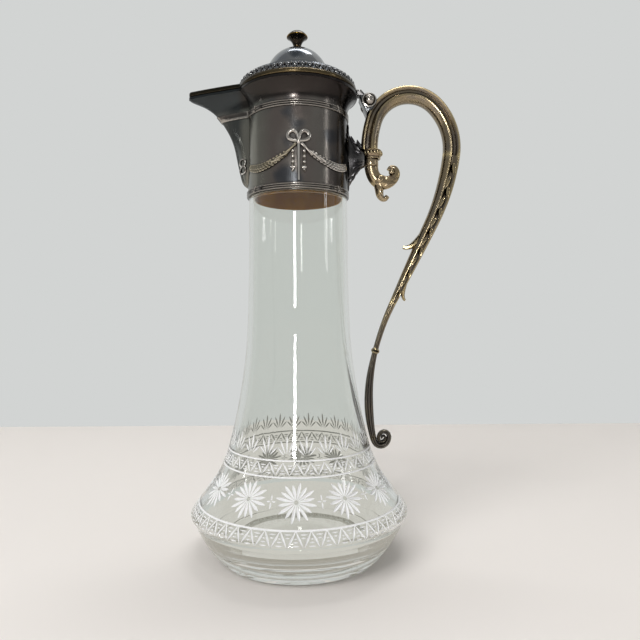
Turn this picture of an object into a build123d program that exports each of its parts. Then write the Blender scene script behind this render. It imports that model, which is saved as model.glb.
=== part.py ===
"""Claret jug: a cut glass bottle with a plated mount, a hinged lid and a scroll handle.

Millimetres. +Z is up, +X points to the handle and -X to the spout. The origin is at the
centre of the foot's underside. Each block below makes one piece of the jug.
"""

import os
from math import radians, sin, sqrt

from build123d import *

os.makedirs("parts", exist_ok=True)

STANDING = (Align.CENTER, Align.CENTER, Align.MIN)  # a shape that stands on its place

# ---------------------------------------------------------------- glass bottle
foot_r = 44.0  # flat ground ring that the jug stands on
foot_lift = 1.0  # height of the bevel round the foot
foot_bevel = 2.0  # how far the bevel leans out
skirt_bulge = 1.3  # how far the lower taper swells out of a straight cone
skirt_h = 21.2  # height of the lower taper
edge_step = 1.8  # how far the cut edge above the taper lies inside the belly
belly_r = 61.4  # widest radius
belly_rise = 2.6  # from the cut edge up to the widest ring
shoulder_r = 4.7  # radius of the turn from the belly into the bell
shoulder_turn = 38.0  # angle of that turn, degrees
# the bell between the shoulder and the neck: height, and the share of the belly's width beyond
# the neck that is left there
bell_stations = (
    (37.3, 0.75),
    (45.5, 0.5723),
    (55.4, 0.4307),
    (73.0, 0.2801),
    (93.4, 0.1566),
    (120.0, 0.0542),
    (150.0, 0.0181),
)
neck_r = 28.2  # outer radius of the neck
neck_wall = 2.4  # glass wall in the neck
belly_wall = 4.0  # glass wall round the belly
floor_t = 8.0  # glass under the chamber
seat_step = 1.2  # the neck is ground back this much where the mount grips it
seat_drop = 0.6  # the ground step lies this far below the mount
groove_r = 0.6  # half width of the ring grooves
groove_places = (0.03, 0.1725, 0.218)  # the ring grooves, along the bell from the shoulder
step_places = (0.19, 0.4, 0.56)  # the turned steps, up the lower taper
step_r = 0.7  # half width of the turned steps' hollows

# ---------------------------------------------------------------- mount on the neck
collar_z = 202.4  # underside of the mount
collar_wall = 0.7
cement_gap = 1.0  # plaster between the ground neck and the mount
grip_h = 34.0  # length of neck inside the mount
collar_h = 47.7  # straight part of the mount, up to the flare
flare_h = 11.5  # height of the flare
flare_out = 5.4  # how far the flare leans out at the mouth
rim_h = 1.2  # height of the wire rim round the mouth
rim_w = 1.6  # width of the wire rim
rim_proud = 0.3  # how far the rim stands out of the flare
band_h = 3.4  # height of the reeded bands
band_lift = 0.4  # the lower band starts this far above the mount's edge
reed_proud = 0.7  # how far the reeds stand out
reed_count = 3
liner_gap = 0.2  # between the glass and the gilt liner
liner_wall = 0.6
liner_drop = 1.0  # the liner hangs this far below the mount
liner_lip = 0.9  # thickness of the liner's lip on the glass
tie_w = 1.5  # width of the ribbon ties on the bands
tie_proud = 0.5  # how far a tie stands out of its band
tie_lean = 24.0  # lean of each half of the crossed tie, degrees
tie_angle = 38.0  # the ties stand this far round from the handle's and the spout's lines

# ---------------------------------------------------------------- spout
spout_reach = 28.3  # beyond the flare's edge to the tip
spout_tip_r = 3.0
spout_wall = 0.9
beak_inner = 9.0  # the beak's plans end this far from the axis, inside the round mount
beak_root = 4.5  # the beak's sides start this far inside the round mouth
beak_swell = 0.4  # how far the beak's sides swell out of a straight line
spout_swell = 2.4  # how far the sides of the lower spout swell out of a straight line
channel_rows = 3  # the hollow channel follows this many rows of the keel
# height below the mouth, reach beyond the straight mount, half width at the root
spout_keel = (
    (5.0, 26.0, 12.6),
    (10.0, 18.8, 11.6),
    (15.4, 14.5, 11.0),
    (22.3, 10.5, 10.8),
    (30.2, 7.7, 10.6),
    (38.6, 6.0, 9.8),
    (45.0, 4.6, 7.6),
    (52.0, 0.9, 3.4),
)
spout_top_half = 14.4  # half width where the beak leaves the flare

# ---------------------------------------------------------------- relief on the mount
relief_proud = 1.6  # thickness of the cast garlands
bow_turn = 2.9  # the bow is set this far round towards the handle, degrees
bow_lift = 29.0  # centre of the bow's loops above the mount's edge
bow_loop_r = 3.2
bow_loop_side = 3.1
bow_ribbon = 1.5
knot_drop = 3.9  # the knot lies this far below the loops
knot_r = 1.3
swag_fall = 9.0  # how far a swag's middle hangs below the knot
swag_thick = 4.0  # swag at its thickest
swag_thin = 1.6  # swag at the knot
swag_low_turn = 45.0  # angle round the mount from the knot to the lowest point
swag_end_turn = 66.0  # angle where the swag is caught up again
swag_end_rise = 2.0  # the swag's end above its lowest point
swag_start_turn = 4.0  # angle from the knot where the swag leaves it
swag_mid_share = 0.72  # share of the fall that a swag has made halfway to its lowest point
drop_len = 19.0  # length of the pendant below the knot
drop_w = 1.2
husk_r = 1.2
husk_side = 2.9
husk_count = 4
husk_share = 0.62  # share of the pendant's length that the husks take
husk_first = 1.4  # the first husk's place, in steps between husks
spout_bow_out = 2.6  # the spout's ribbon loops lie this far outside the straight mount
spout_bow_r = 2.3
spout_bow_rise = 2.0  # from the knot to each loop's centre, so that the loops cross

# ---------------------------------------------------------------- handle
leg_out = 12.6  # leg's centre beyond the straight mount
leg_z = 230.8  # foot of the leg, on the knop
leg_r = 55.8
leg_turn = 18.5
crown_r = 21.0
crown_turn = 118.9
shoulder_arc_r = 35.5
shoulder_arc_turn = 50.5
back_r = 131.1
back_turn = 18.3
reach_len = 49.4
counter_r = 148.4
counter_turn = 15.2
tail_r = 101.1
tail_turn = 23.2
loop_w = 9.8  # width of the loop across the curve
loop_d = 9.0  # depth of the loop along Y
loop_flat = 0.30  # share of each side that the section's bevels take
sheath_end_w = 3.9  # width where the leafy sheath ends
sheath_widths = (loop_w, 9.3, 8.2, 7.2, 5.8, sheath_end_w)  # evenly spaced down the sheath
tail_end_w = 3.6  # width where the tail turns into the volute
tail_widths = (sheath_end_w, 3.2, 3.2, 4.4, 5.0, tail_end_w)  # evenly spaced down the tail
tail_tie_share = 0.38  # place of the crossed tie along the tail
tail_tie_h = 4.6
tail_tie_proud = 0.5
# the coil: radius of each arc, its turn and the width of its band
volute_arcs = ((12.0, 15.0, 3.2), (4.7, 150.0, 2.4), (3.3, 150.0, 1.8), (2.0, 120.0, 1.4))
volute_d = 4.4
volute_eye_r = 1.4
leaf_tip_len = 9.0  # how far a leaf's tip runs along the stem
leaf_tip_d = 2.4
leaf_tip_bow = 6.0  # how many times a tip's flick is the bow of its sides
# the leaf tips: start down the straight reach, side (-1 to the glass), seat off the route, flick
leaf_tips = ((9.2, -1, 3.3, 4.6), (37.0, 1, 1.9, 2.6))
knop_r = 6.4
knop_h = 5.3
knop_round = 1.8  # radius of the knop's rounded edges
knop_side = 1.6  # knop's centre beyond the leg's foot
disc_side = 0.9  # disc's centre beyond the leg's foot
disc_r = 4.3
disc_h = 4.2
spur_w = 7.0
spur_rise = 10.0  # the spur's root reaches this far above the knop
spur_fall = 13.0  # and this far below the disc
spur_hollow = 1.6  # how far the spur's edges are hollowed
leaf_plate_w = 19.0  # width of the leaf plate on the mount
leaf_margin = 0.3  # between the leaf plate and the bands
scroll_d = 6.4
scroll_neck_r = 3.6
scroll_knee_out = 6.2  # the scroll's bend, beyond the disc's centre
scroll_knee_drop = 10.4  # and below the disc
scroll_knee_r = 2.9
scroll_eye_out = 12.8
scroll_eye_drop = 4.2
scroll_eye_r = 3.5
scroll_toe_out = 8.2
scroll_toe_drop = 17.6
scroll_toe_r = 1.7

# ---------------------------------------------------------------- hinge
pin_out = 6.9  # pin beyond the mouth's edge
pin_drop = 3.6  # pin below the mouth
pin_r = 1.3
pin_clear = 0.05
lid_knuckle_r = 3.0
lid_knuckle_w = 5.0
side_gap = 0.12
cheek_r = 4.3
cheek_t = 3.2
ball_r = 2.9
saddle_clear = 0.6  # between the lid's knuckle and the saddle's web
saddle_drop = 4.6  # the saddle's arm reaches this far below the pin's centre
lug_gap = 0.3  # between the lid's lug and the bead band
lug_rise = 0.8  # the lug's crest above the lid's plate
lug_crest = 2.4  # length of the crest's slope
lug_bend = 2.0  # where the lug turns down, short of the pin

# ---------------------------------------------------------------- lid
lid_gap = 0.3  # between the rim and the closed lid
lid_plate_t = 2.7
lid_over = 0.2  # the lid is this much larger than the flare's edge
lid_open_r = 24.0  # opening in the plate, below the dome
bead_h = 5.0
bead_in = 3.0  # the bead band leans in by this
bead_edge = 0.9  # the band starts this far inside the plate's edge
bead_w = 2.4
cushion_rise = 5.0  # the ring between the beads and the dome rises by this
cushion_t = 1.0
cushion_bow = 1.0  # how far the ring's slope swells
dome_r = 18.4
dome_low = 3.4  # dome's rim above the sphere's centre
dome_wall = 0.9
bezel_w = 1.1
bezel_h = 1.3
stem_r = 2.1
stem_foot_r = 3.4
stem_foot_dip = 0.8  # the foot's edge lies this far below the dome's top
stem_h = 2.2
stem_bow = 0.8  # hollow of the stem's foot
screw_r = 1.2
screw_len = 5.2
screw_clear = 0.05
washer_r = 3.6
washer_t = 0.6
nut_r = 2.9
nut_t = 1.8
knob_r = 6.2
knob_cup_h = 4.7
knob_cup_bow = 0.9  # hollow of the knob's cup
knob_cap_h = 3.7

# ---------------------------------------------------------------- places that follow
skirt_z = foot_lift + skirt_h
bell_out = belly_r - neck_r
edge_r = belly_r - edge_step
belly_z = skirt_z + belly_rise
seat_r = neck_r - seat_step
collar_in_r = seat_r + cement_gap
collar_r = collar_in_r + collar_wall
seat_z = collar_z - seat_drop
neck_top = collar_z + grip_h
flare_z = collar_z + collar_h
mouth_z = flare_z + flare_h
shell_top = mouth_z - rim_h
mouth_r = collar_r + flare_out
chamber_r = neck_r - neck_wall
liner_r = chamber_r - liner_gap
spout_tip = -(mouth_r + spout_reach)
lid_z = mouth_z + lid_gap
lid_top = lid_z + lid_plate_t
leg_x = collar_r + leg_out
pin_x = mouth_r + pin_out
pin_z = mouth_z - pin_drop
bow_z = collar_z + bow_lift
knot_z = bow_z - knot_drop
relief_r = collar_r + relief_proud
knop_top = leg_z
knop_low = knop_top - knop_h
disc_low = knop_low - disc_h
knop_x = leg_x + knop_side
reed_r = band_h / reed_count / 2
band_out_r = collar_r + reed_proud
knuckle_space_r = lid_knuckle_r + saddle_clear
knuckle_space_w = lid_knuckle_w + 2 * side_gap
cheek_out = knuckle_space_w / 2 + cheek_t


# ---------------------------------------------------------------- shared shapes
def wall_at(height):
    """Glass wall, measured level, which thickens evenly from the neck down to the belly."""
    return neck_wall + (belly_wall - neck_wall) * (seat_z - height) / (seat_z - belly_z)


def beak_plan(tip_x, root_x, half, swell):
    """Plan of the spout at one height: two swelling sides that meet in a round nose."""
    nose_x = tip_x + spout_tip_r / 2
    nose_half = spout_tip_r * sqrt(3) / 2
    with BuildSketch(mode=Mode.PRIVATE) as plan:
        with BuildLine():
            side = SagittaArc((root_x, half), (nose_x, nose_half), -swell)
            nose = ThreePointArc(side @ 1, (tip_x, 0), (nose_x, -nose_half))
            other = SagittaArc(nose @ 1, (root_x, -half), -swell)
            low = Line(other @ 1, (-beak_inner, -half))
            across = Line(low @ 1, (-beak_inner, half))
            Line(across @ 1, side @ 0)
        make_face()
    return plan.sketch


def mouth_plan(grow):
    """Plan of the mouth: the round rim with the beak, grown by the given width."""
    beak = beak_plan(spout_tip - grow, -mouth_r + beak_root, spout_top_half + grow, beak_swell)
    with BuildSketch(mode=Mode.PRIVATE) as plan:
        Circle(mouth_r + grow)
        add(beak)
    return plan.sketch


# ---------------------------------------------------------------- glass bottle
with BuildPart() as glass_body:
    with BuildSketch(Plane.XZ) as bottle_wall:
        with BuildLine() as bottle_line:
            foot = Line((0, 0), (foot_r, 0))
            bevel = Line(foot @ 1, (foot_r + foot_bevel, foot_lift))
            skirt = SagittaArc(bevel @ 1, (edge_r, skirt_z), -skirt_bulge)
            edge = Line(skirt @ 1, (belly_r, belly_z))
            turn = JernArc(edge @ 1, (0, 1), shoulder_r, shoulder_turn)
            bell = Spline(
                turn @ 1,
                *[(neck_r + share * bell_out, height) for height, share in bell_stations],
                (neck_r, seat_z),
                tangents=(turn % 1, (0, 1)),
            )
            step = Line(bell @ 1, (seat_r, seat_z))
            seat = Line(step @ 1, (seat_r, neck_top))
            lip = Line(seat @ 1, (chamber_r, neck_top))
            bore = Line(lip @ 1, (chamber_r, seat_z))
            inner_low = turn @ 1 + (turn % 1).rotate(Axis.Z, 90) * belly_wall
            inner_bell = Spline(
                bore @ 1,
                *[
                    (neck_r + share * bell_out - wall_at(height), height)
                    for height, share in reversed(bell_stations)
                ],
                inner_low,
                tangents=((0, -1), (turn % 1) * -1),
            )
            inner_belly = Line(inner_bell @ 1, (edge_r - belly_wall, skirt_z))
            inner_skirt = Line(inner_belly @ 1, (foot_r + foot_bevel, floor_t))
            chamber_floor = Line(inner_skirt @ 1, (0, floor_t))
            Line(chamber_floor @ 1, foot @ 0)
        make_face()
        with Locations(*(bell @ place for place in groove_places)):
            Circle(groove_r, mode=Mode.SUBTRACT)
        with Locations(*(skirt @ place for place in step_places)):
            Circle(step_r, mode=Mode.SUBTRACT)
    revolve(axis=Axis.Z)
glass_body.part.label = "glass_body"
export_step(glass_body.part, "parts/glass_body.step")

with BuildPart() as neck_cement:
    with BuildSketch(Plane.XY.offset(collar_z)):
        Circle(collar_in_r)
        Circle(seat_r, mode=Mode.SUBTRACT)
    extrude(amount=grip_h)
neck_cement.part.label = "neck_cement"
export_step(neck_cement.part, "parts/neck_cement.step")

with BuildPart() as neck_liner:
    with BuildSketch(Plane.XY.offset(collar_z - liner_drop)):
        Circle(liner_r)
        Circle(liner_r - liner_wall, mode=Mode.SUBTRACT)
    extrude(amount=grip_h + liner_drop)
    with BuildSketch(Plane.XY.offset(neck_top)):
        Circle(collar_in_r)
        Circle(liner_r - liner_wall, mode=Mode.SUBTRACT)
    extrude(amount=liner_lip)
neck_liner.part.label = "neck_liner"
export_step(neck_liner.part, "parts/neck_liner.step")


# ---------------------------------------------------------------- mount
def mount_solid(wall_r, lean_r, above):
    """Solid of the mount's round body, which leans out into the flare and may go on above."""
    with BuildPart(mode=Mode.PRIVATE) as body:
        with BuildSketch(Plane.XZ):
            with BuildLine():
                low = Line((0, collar_z), (wall_r, collar_z))
                wall = Line(low @ 1, (wall_r, flare_z))
                flare = TangentArc(wall @ 1, (lean_r, shell_top), tangent=(0, 1))
                collar_edge = Line(flare @ 1, (lean_r, shell_top + above))
                lid_side = Line(collar_edge @ 1, (0, shell_top + above))
                Line(lid_side @ 1, low @ 0)
            make_face()
        revolve(axis=Axis.Z)
    return body.part


def spout_solid(rows, grow):
    """Solid through the plans of the spout's rows, from the mouth downwards."""
    tip_x = spout_tip - grow
    plans = [beak_plan(tip_x, -mouth_r + beak_root, spout_top_half + grow, beak_swell)]
    levels = [shell_top]
    for below, reach, half in rows:
        swell = spout_swell * below / (mouth_z - collar_z)
        plans.append(beak_plan(-(collar_r + reach + grow), -(collar_r - beak_root), half + grow, swell))
        levels.append(mouth_z - below)
    with BuildPart(mode=Mode.PRIVATE) as body:
        for level, plan in zip(levels, plans):
            with BuildSketch(Plane.XY.offset(level)):
                add(plan)
        loft()
    return body.part


spout_cutter = mount_solid(collar_r, mouth_r, flare_h)
inner_mount = mount_solid(collar_in_r, mouth_r - collar_wall, flare_h)
outer_spout = spout_solid(spout_keel, 0)
spout_channel = spout_solid(spout_keel[:channel_rows], -spout_wall)

with BuildPart() as collar_shell:
    add(spout_cutter)
    split(bisect_by=Plane.XY.offset(shell_top), keep=Keep.BOTTOM)
    add(inner_mount, mode=Mode.SUBTRACT)
    add(spout_channel, mode=Mode.SUBTRACT)
collar_shell.part.label = "collar_shell"
export_step(collar_shell.part, "parts/collar_shell.step")

with BuildPart() as spout:
    add(outer_spout)
    add(spout_channel, mode=Mode.SUBTRACT)
    add(spout_cutter, mode=Mode.SUBTRACT)
spout.part.label = "spout"
export_step(spout.part, "parts/spout.step")

with BuildPart() as mouth_rim:
    with BuildSketch(Plane.XY.offset(shell_top)):
        add(mouth_plan(rim_proud))
        add(mouth_plan(rim_proud - rim_w), mode=Mode.SUBTRACT)
    extrude(amount=rim_h)
mouth_rim.part.label = "mouth_rim"
export_step(mouth_rim.part, "parts/mouth_rim.step")


def reeded_profile(low_z, wall_r):
    """Section of a reeded band: round reeds side by side on a thin strip."""
    with BuildSketch(Plane.XZ, mode=Mode.PRIVATE) as section:
        with Locations((wall_r + (reed_proud - reed_r) / 2, low_z + band_h / 2)):
            Rectangle(reed_proud - reed_r, band_h)
        for number in range(reed_count):
            with Locations((wall_r + reed_proud - reed_r, low_z + reed_r * (2 * number + 1))):
                Circle(reed_r)
        with Locations((wall_r - reed_r, low_z + band_h / 2)):
            Rectangle(2 * reed_r, band_h, mode=Mode.SUBTRACT)
    return section.sketch


upper_band_z = flare_z - band_h
lower_band_z = collar_z + band_lift

with BuildPart() as upper_reeded_band:
    with BuildSketch(Plane.XZ):
        add(reeded_profile(upper_band_z, collar_r))
    revolve(axis=Axis.Z)
    add(outer_spout, mode=Mode.SUBTRACT)
upper_reeded_band.part.label = "upper_reeded_band"
export_step(upper_reeded_band.part, "parts/upper_reeded_band.step")

with BuildPart() as lower_reeded_band:
    with BuildSketch(Plane.XZ):
        add(reeded_profile(lower_band_z, collar_r))
    revolve(axis=Axis.Z)
lower_reeded_band.part.label = "lower_reeded_band"
export_step(lower_reeded_band.part, "parts/lower_reeded_band.step")

wide_spout = spout_solid(spout_keel, reed_proud)
with BuildPart() as spout_reeded_band:
    add(wide_spout)
    with Locations((spout_tip / 2, 0, upper_band_z)):
        Box(-spout_tip, 2 * mouth_r, band_h, align=STANDING, mode=Mode.INTERSECT)
    add(outer_spout, mode=Mode.SUBTRACT)
    add(spout_cutter, mode=Mode.SUBTRACT)
    add(upper_reeded_band.part, mode=Mode.SUBTRACT)
spout_reeded_band.part.label = "spout_reeded_band"
export_step(spout_reeded_band.part, "parts/spout_reeded_band.step")


# ---------------------------------------------------------------- relief on the mount
def wrapped(drawing, turn, low_r, high_r):
    """A drawing seen from the front, laid on the round mount and turned about the axis."""
    with BuildPart(mode=Mode.PRIVATE) as cast:
        with BuildSketch(Plane.XZ):
            add(drawing)
        extrude(amount=2 * high_r)
        with Locations((0, 0, collar_z)):
            Cylinder(high_r, collar_h, align=STANDING, mode=Mode.INTERSECT)
            Cylinder(low_r, collar_h, align=STANDING, mode=Mode.SUBTRACT)
    return cast.part.rotate(Axis.Z, turn)


for band_name, band_z in (("upper", upper_band_z), ("lower", lower_band_z)):
    with BuildSketch(mode=Mode.PRIVATE) as cross:
        for lean in (tie_lean, -tie_lean):
            with Locations((0, band_z + band_h / 2)):
                Rectangle(tie_w, 2 * band_h, rotation=lean)
        with Locations((0, band_z + band_h / 2)):
            Rectangle(4 * band_h, band_h, mode=Mode.INTERSECT)
    with BuildPart() as band_ties:
        for tie_turn in (tie_angle, -tie_angle, 180 - tie_angle, 180 + tie_angle):
            add(wrapped(cross.sketch, tie_turn + 90, band_out_r, band_out_r + tie_proud))
    band_ties.part.label = f"{band_name}_band_ties"
    export_step(band_ties.part, f"parts/{band_name}_band_ties.step")

with BuildSketch(mode=Mode.PRIVATE) as bow_drawing:
    with Locations((bow_loop_side, bow_z), (-bow_loop_side, bow_z)):
        Circle(bow_loop_r)
        Circle(bow_loop_r - bow_ribbon, mode=Mode.SUBTRACT)
    for side in (1, -1):
        with BuildLine():
            Polyline(
                (side * knot_r, knot_z),
                (side * (bow_loop_side + bow_ribbon), bow_z - bow_loop_r + bow_ribbon / 2),
                (side * (bow_loop_side - bow_ribbon / 2), bow_z - bow_loop_r + bow_ribbon / 2),
                (0, knot_z),
                close=True,
            )
        make_face()
    with Locations((0, knot_z)):
        Circle(knot_r)

# the swag is drawn round the mount: each point's turn from the knot becomes its sideways place
swag_mid_turn = (swag_start_turn + swag_low_turn) / 2


def round_x(turn):
    """Sideways place, seen from the front, of a point this far round the mount."""
    return collar_r * sin(radians(turn))


swag_low_z = knot_z - swag_fall
swag_mid_z = knot_z - swag_fall * swag_mid_share
with BuildSketch(mode=Mode.PRIVATE) as swag_drawing:
    with BuildLine():
        under = Spline(
            (round_x(swag_start_turn), knot_z - knot_r - swag_thin),
            (round_x(swag_mid_turn), swag_mid_z - swag_thick / 2),
            (round_x(swag_low_turn), swag_low_z - swag_thick / 2),
            (round_x(swag_end_turn), swag_low_z + swag_end_rise - swag_thick / 2),
        )
        end_side = Line(under @ 1, (round_x(swag_end_turn), swag_low_z + swag_end_rise + swag_thick / 2))
        over = Spline(
            end_side @ 1,
            (round_x(swag_low_turn), swag_low_z + swag_thick / 2),
            (round_x(swag_mid_turn), swag_mid_z + swag_thick / 2),
            (round_x(swag_start_turn), knot_z - knot_r),
        )
        Line(over @ 1, under @ 0)
    make_face()

with BuildSketch(mode=Mode.PRIVATE) as drop_drawing:
    drop_top = knot_z - knot_r
    with Locations((0, drop_top - drop_len / 2)):
        Rectangle(drop_w, drop_len)
    husk_step = drop_len * husk_share / husk_count
    first_husk_z = drop_top - husk_step * husk_first
    last_husk_z = first_husk_z - husk_step * (husk_count - 1)
    for side in (1, -1):
        for number in range(husk_count):
            with Locations((side * husk_side, first_husk_z - husk_step * number)):
                Circle(husk_r)
        with Locations((side * husk_side / 2, first_husk_z), (side * husk_side / 2, last_husk_z)):
            Rectangle(husk_side, drop_w / 2)

garlands = {
    "bow": bow_drawing.sketch,
    "husk_drop": drop_drawing.sketch,
    "handle_swag": swag_drawing.sketch,
    "spout_swag": mirror(swag_drawing.sketch, about=Plane.YZ, mode=Mode.PRIVATE),
}
for garland, drawing in garlands.items():
    for face_name in ("front", "back"):
        with BuildPart() as relief:
            add(wrapped(drawing, bow_turn, collar_r, relief_r))
            if face_name == "back":
                mirror(about=Plane.XZ, mode=Mode.REPLACE)
        relief.part.label = f"{garland}_{face_name}"
        export_step(relief.part, f"parts/{garland}_{face_name}.step")

with BuildPart() as spout_bows:
    with BuildSketch(Plane.XZ):
        with Locations(
            (-collar_r - spout_bow_out, swag_low_z + swag_end_rise + spout_bow_rise),
            (-collar_r - spout_bow_out, swag_low_z + swag_end_rise - spout_bow_rise),
        ):
            Circle(spout_bow_r)
            Circle(spout_bow_r - bow_ribbon / 2, mode=Mode.SUBTRACT)
    extrude(amount=mouth_r, both=True)
    add(wide_spout, mode=Mode.INTERSECT)
    add(outer_spout, mode=Mode.SUBTRACT)
    add(spout_cutter, mode=Mode.SUBTRACT)
spout_bows.part.label = "spout_bows"
export_step(spout_bows.part, "parts/spout_bows.step")


# ---------------------------------------------------------------- handle
with BuildLine(Plane.XZ) as handle_route:
    leg = JernArc((leg_x, leg_z), (0, 1), leg_r, -leg_turn)
    crown = JernArc(leg @ 1, leg % 1, crown_r, -crown_turn)
    shoulder = JernArc(crown @ 1, crown % 1, shoulder_arc_r, -shoulder_arc_turn)
    back = JernArc(shoulder @ 1, shoulder % 1, back_r, -back_turn)
    reach = Line(back @ 1, back @ 1 + (back % 1) * reach_len)
    counter = JernArc(reach @ 1, reach % 1, counter_r, counter_turn)
    tail = JernArc(counter @ 1, counter % 1, tail_r, tail_turn)
    coil = [tail]
    for coil_r, coil_turn, _ in volute_arcs:
        coil.append(JernArc(coil[-1] @ 1, coil[-1] % 1, coil_r, coil_turn))


def stem_section(width, depth):
    """Section of the stem: a bar with its corners taken off."""
    with BuildSketch(mode=Mode.PRIVATE) as section:
        Rectangle(width, depth)
        chamfer(section.vertices(), min(width, depth) * loop_flat)
    return section.sketch


def tapered_stem(path, widths, depth_share):
    """Bar along a path through sections of the given widths, evenly spaced."""
    sections = [stem_section(width, width * depth_share) for width in widths]
    with BuildPart(mode=Mode.PRIVATE) as bar:
        for number, section in enumerate(sections):
            with BuildSketch(Plane(path ^ (number / (len(widths) - 1)))):
                add(section)
        loft()
    return bar.part


def leaf_tip(start, along, out):
    """Tip of a leaf that leaves the stem at start and flicks out over its side."""
    tip_plane = Plane(origin=start, x_dir=reach % 0.5, z_dir=(0, -1, 0))
    with BuildPart(mode=Mode.PRIVATE) as tip:
        with BuildSketch(tip_plane):
            with BuildLine():
                outer = SagittaArc((0, 0), (along, out), -out / leaf_tip_bow)
                under = SagittaArc(outer @ 1, (along, 0), out / leaf_tip_bow)
                Line(under @ 1, outer @ 0)
            make_face()
        extrude(amount=leaf_tip_d / 2, both=True)
    return tip.part


loop_share = loop_d / loop_w
loop_path = Wire([leg, crown, shoulder])
sheath_path = Wire([back, reach])
tail_path = Wire([counter, tail])


def pin_cylinder(radius, width):
    """Cylinder of this radius and width round the hinge pin's axis."""
    with BuildPart(mode=Mode.PRIVATE) as round_bar:
        with BuildSketch(Plane.XZ):
            with Locations((pin_x, pin_z)):
                Circle(radius)
        extrude(amount=width / 2, both=True)
    return round_bar.part


knuckle_space = pin_cylinder(knuckle_space_r, knuckle_space_w)
pin_bore = pin_cylinder(pin_r + pin_clear, 4 * cheek_out)

with BuildPart() as handle_loop:
    with BuildSketch(Plane(loop_path ^ 0)):
        add(stem_section(loop_w, loop_d))
    sweep(path=loop_path)
    add(knuckle_space, mode=Mode.SUBTRACT)
handle_loop.part.label = "handle_loop"
export_step(handle_loop.part, "parts/handle_loop.step")

with BuildPart() as handle_leaf_sheath:
    add(tapered_stem(sheath_path, sheath_widths, loop_share))
    for tip_start, tip_side, tip_seat, tip_flick in leaf_tips:
        sideways = (reach % 0.5).rotate(Axis.Y, 90) * -tip_side
        seat_point = reach @ (tip_start / reach_len) + sideways * tip_seat
        add(leaf_tip(seat_point, leaf_tip_len, tip_side * tip_flick))
handle_leaf_sheath.part.label = "handle_leaf_sheath"
export_step(handle_leaf_sheath.part, "parts/handle_leaf_sheath.step")

with BuildPart() as handle_tail:
    add(tapered_stem(tail_path, tail_widths, loop_share))
handle_tail.part.label = "handle_tail"
export_step(handle_tail.part, "parts/handle_tail.step")

with BuildPart() as tail_volute:
    for coil_arc, coil_numbers in zip(coil[1:], volute_arcs):
        with BuildSketch(Plane(coil_arc ^ 0)):
            Rectangle(coil_numbers[2], volute_d)
        sweep(path=coil_arc)
    with BuildSketch(Plane.XZ):
        with Locations((coil[-1].arc_center.X, coil[-1].arc_center.Z)):
            Circle(volute_eye_r)
    extrude(amount=volute_d / 2, both=True)
tail_volute.part.label = "tail_volute"
export_step(tail_volute.part, "parts/tail_volute.step")

with BuildPart() as tail_tie:
    tie_plane = Plane(tail_path ^ tail_tie_share)
    tie_over = tail_end_w + 2 * tail_tie_proud
    with BuildSketch(tie_plane.offset(-tail_tie_h / 2)):
        Rectangle(tie_over, tie_over)
    extrude(amount=tail_tie_h)
    add(handle_tail.part, mode=Mode.SUBTRACT)
tail_tie.part.label = "tail_tie"
export_step(tail_tie.part, "parts/tail_tie.step")

with BuildPart() as handle_knop:
    with Locations((knop_x, 0, knop_low + knop_h / 2)):
        Cylinder(knop_r, knop_h)
    fillet(handle_knop.edges().filter_by(GeomType.CIRCLE), knop_round)
handle_knop.part.label = "handle_knop"
export_step(handle_knop.part, "parts/handle_knop.step")

disc_x = leg_x + disc_side
with BuildPart() as knop_disc:
    with Locations((disc_x, 0, disc_low + disc_h / 2)):
        Cylinder(disc_r, disc_h)
knop_disc.part.label = "knop_disc"
export_step(knop_disc.part, "parts/knop_disc.step")


def link(first, first_r, second, second_r):
    """Outline of a bar with round ends, each end with its own place and radius."""
    with BuildSketch(mode=Mode.PRIVATE) as bar:
        with Locations(first):
            Circle(first_r)
        with Locations(second):
            Circle(second_r)
        make_hull()
    return bar.sketch


# the scroll's joints, from the middle of the disc's underside
scroll_top = (disc_x, disc_low - scroll_neck_r)
scroll_knee = (disc_x + scroll_knee_out, disc_low - scroll_knee_drop)
scroll_eye = (disc_x + scroll_eye_out, disc_low - scroll_eye_drop)
scroll_toe = (disc_x + scroll_toe_out, disc_low - scroll_toe_drop)
with BuildPart() as handle_terminal_scroll:
    with BuildSketch(Plane.XZ):
        add(link(scroll_top, scroll_neck_r, scroll_knee, scroll_knee_r))
        add(link(scroll_knee, scroll_knee_r, scroll_eye, scroll_eye_r))
        add(link(scroll_knee, scroll_knee_r, scroll_toe, scroll_toe_r))
    extrude(amount=scroll_d / 2, both=True)
handle_terminal_scroll.part.label = "handle_terminal_scroll"
export_step(handle_terminal_scroll.part, "parts/handle_terminal_scroll.step")

leaf_low = lower_band_z + band_h + leaf_margin
leaf_high = upper_band_z - leaf_margin
with BuildPart() as handle_leaf_plate:
    with BuildSketch(Plane.YZ):
        with Locations((0, (leaf_low + leaf_high) / 2)):
            Ellipse(leaf_plate_w / 2, (leaf_high - leaf_low) / 2)
    extrude(amount=mouth_r)
    with Locations((0, 0, collar_z)):
        Cylinder(relief_r, collar_h, align=STANDING, mode=Mode.INTERSECT)
        Cylinder(collar_r, collar_h, align=STANDING, mode=Mode.SUBTRACT)
handle_leaf_plate.part.label = "handle_leaf_plate"
export_step(handle_leaf_plate.part, "parts/handle_leaf_plate.step")

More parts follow.
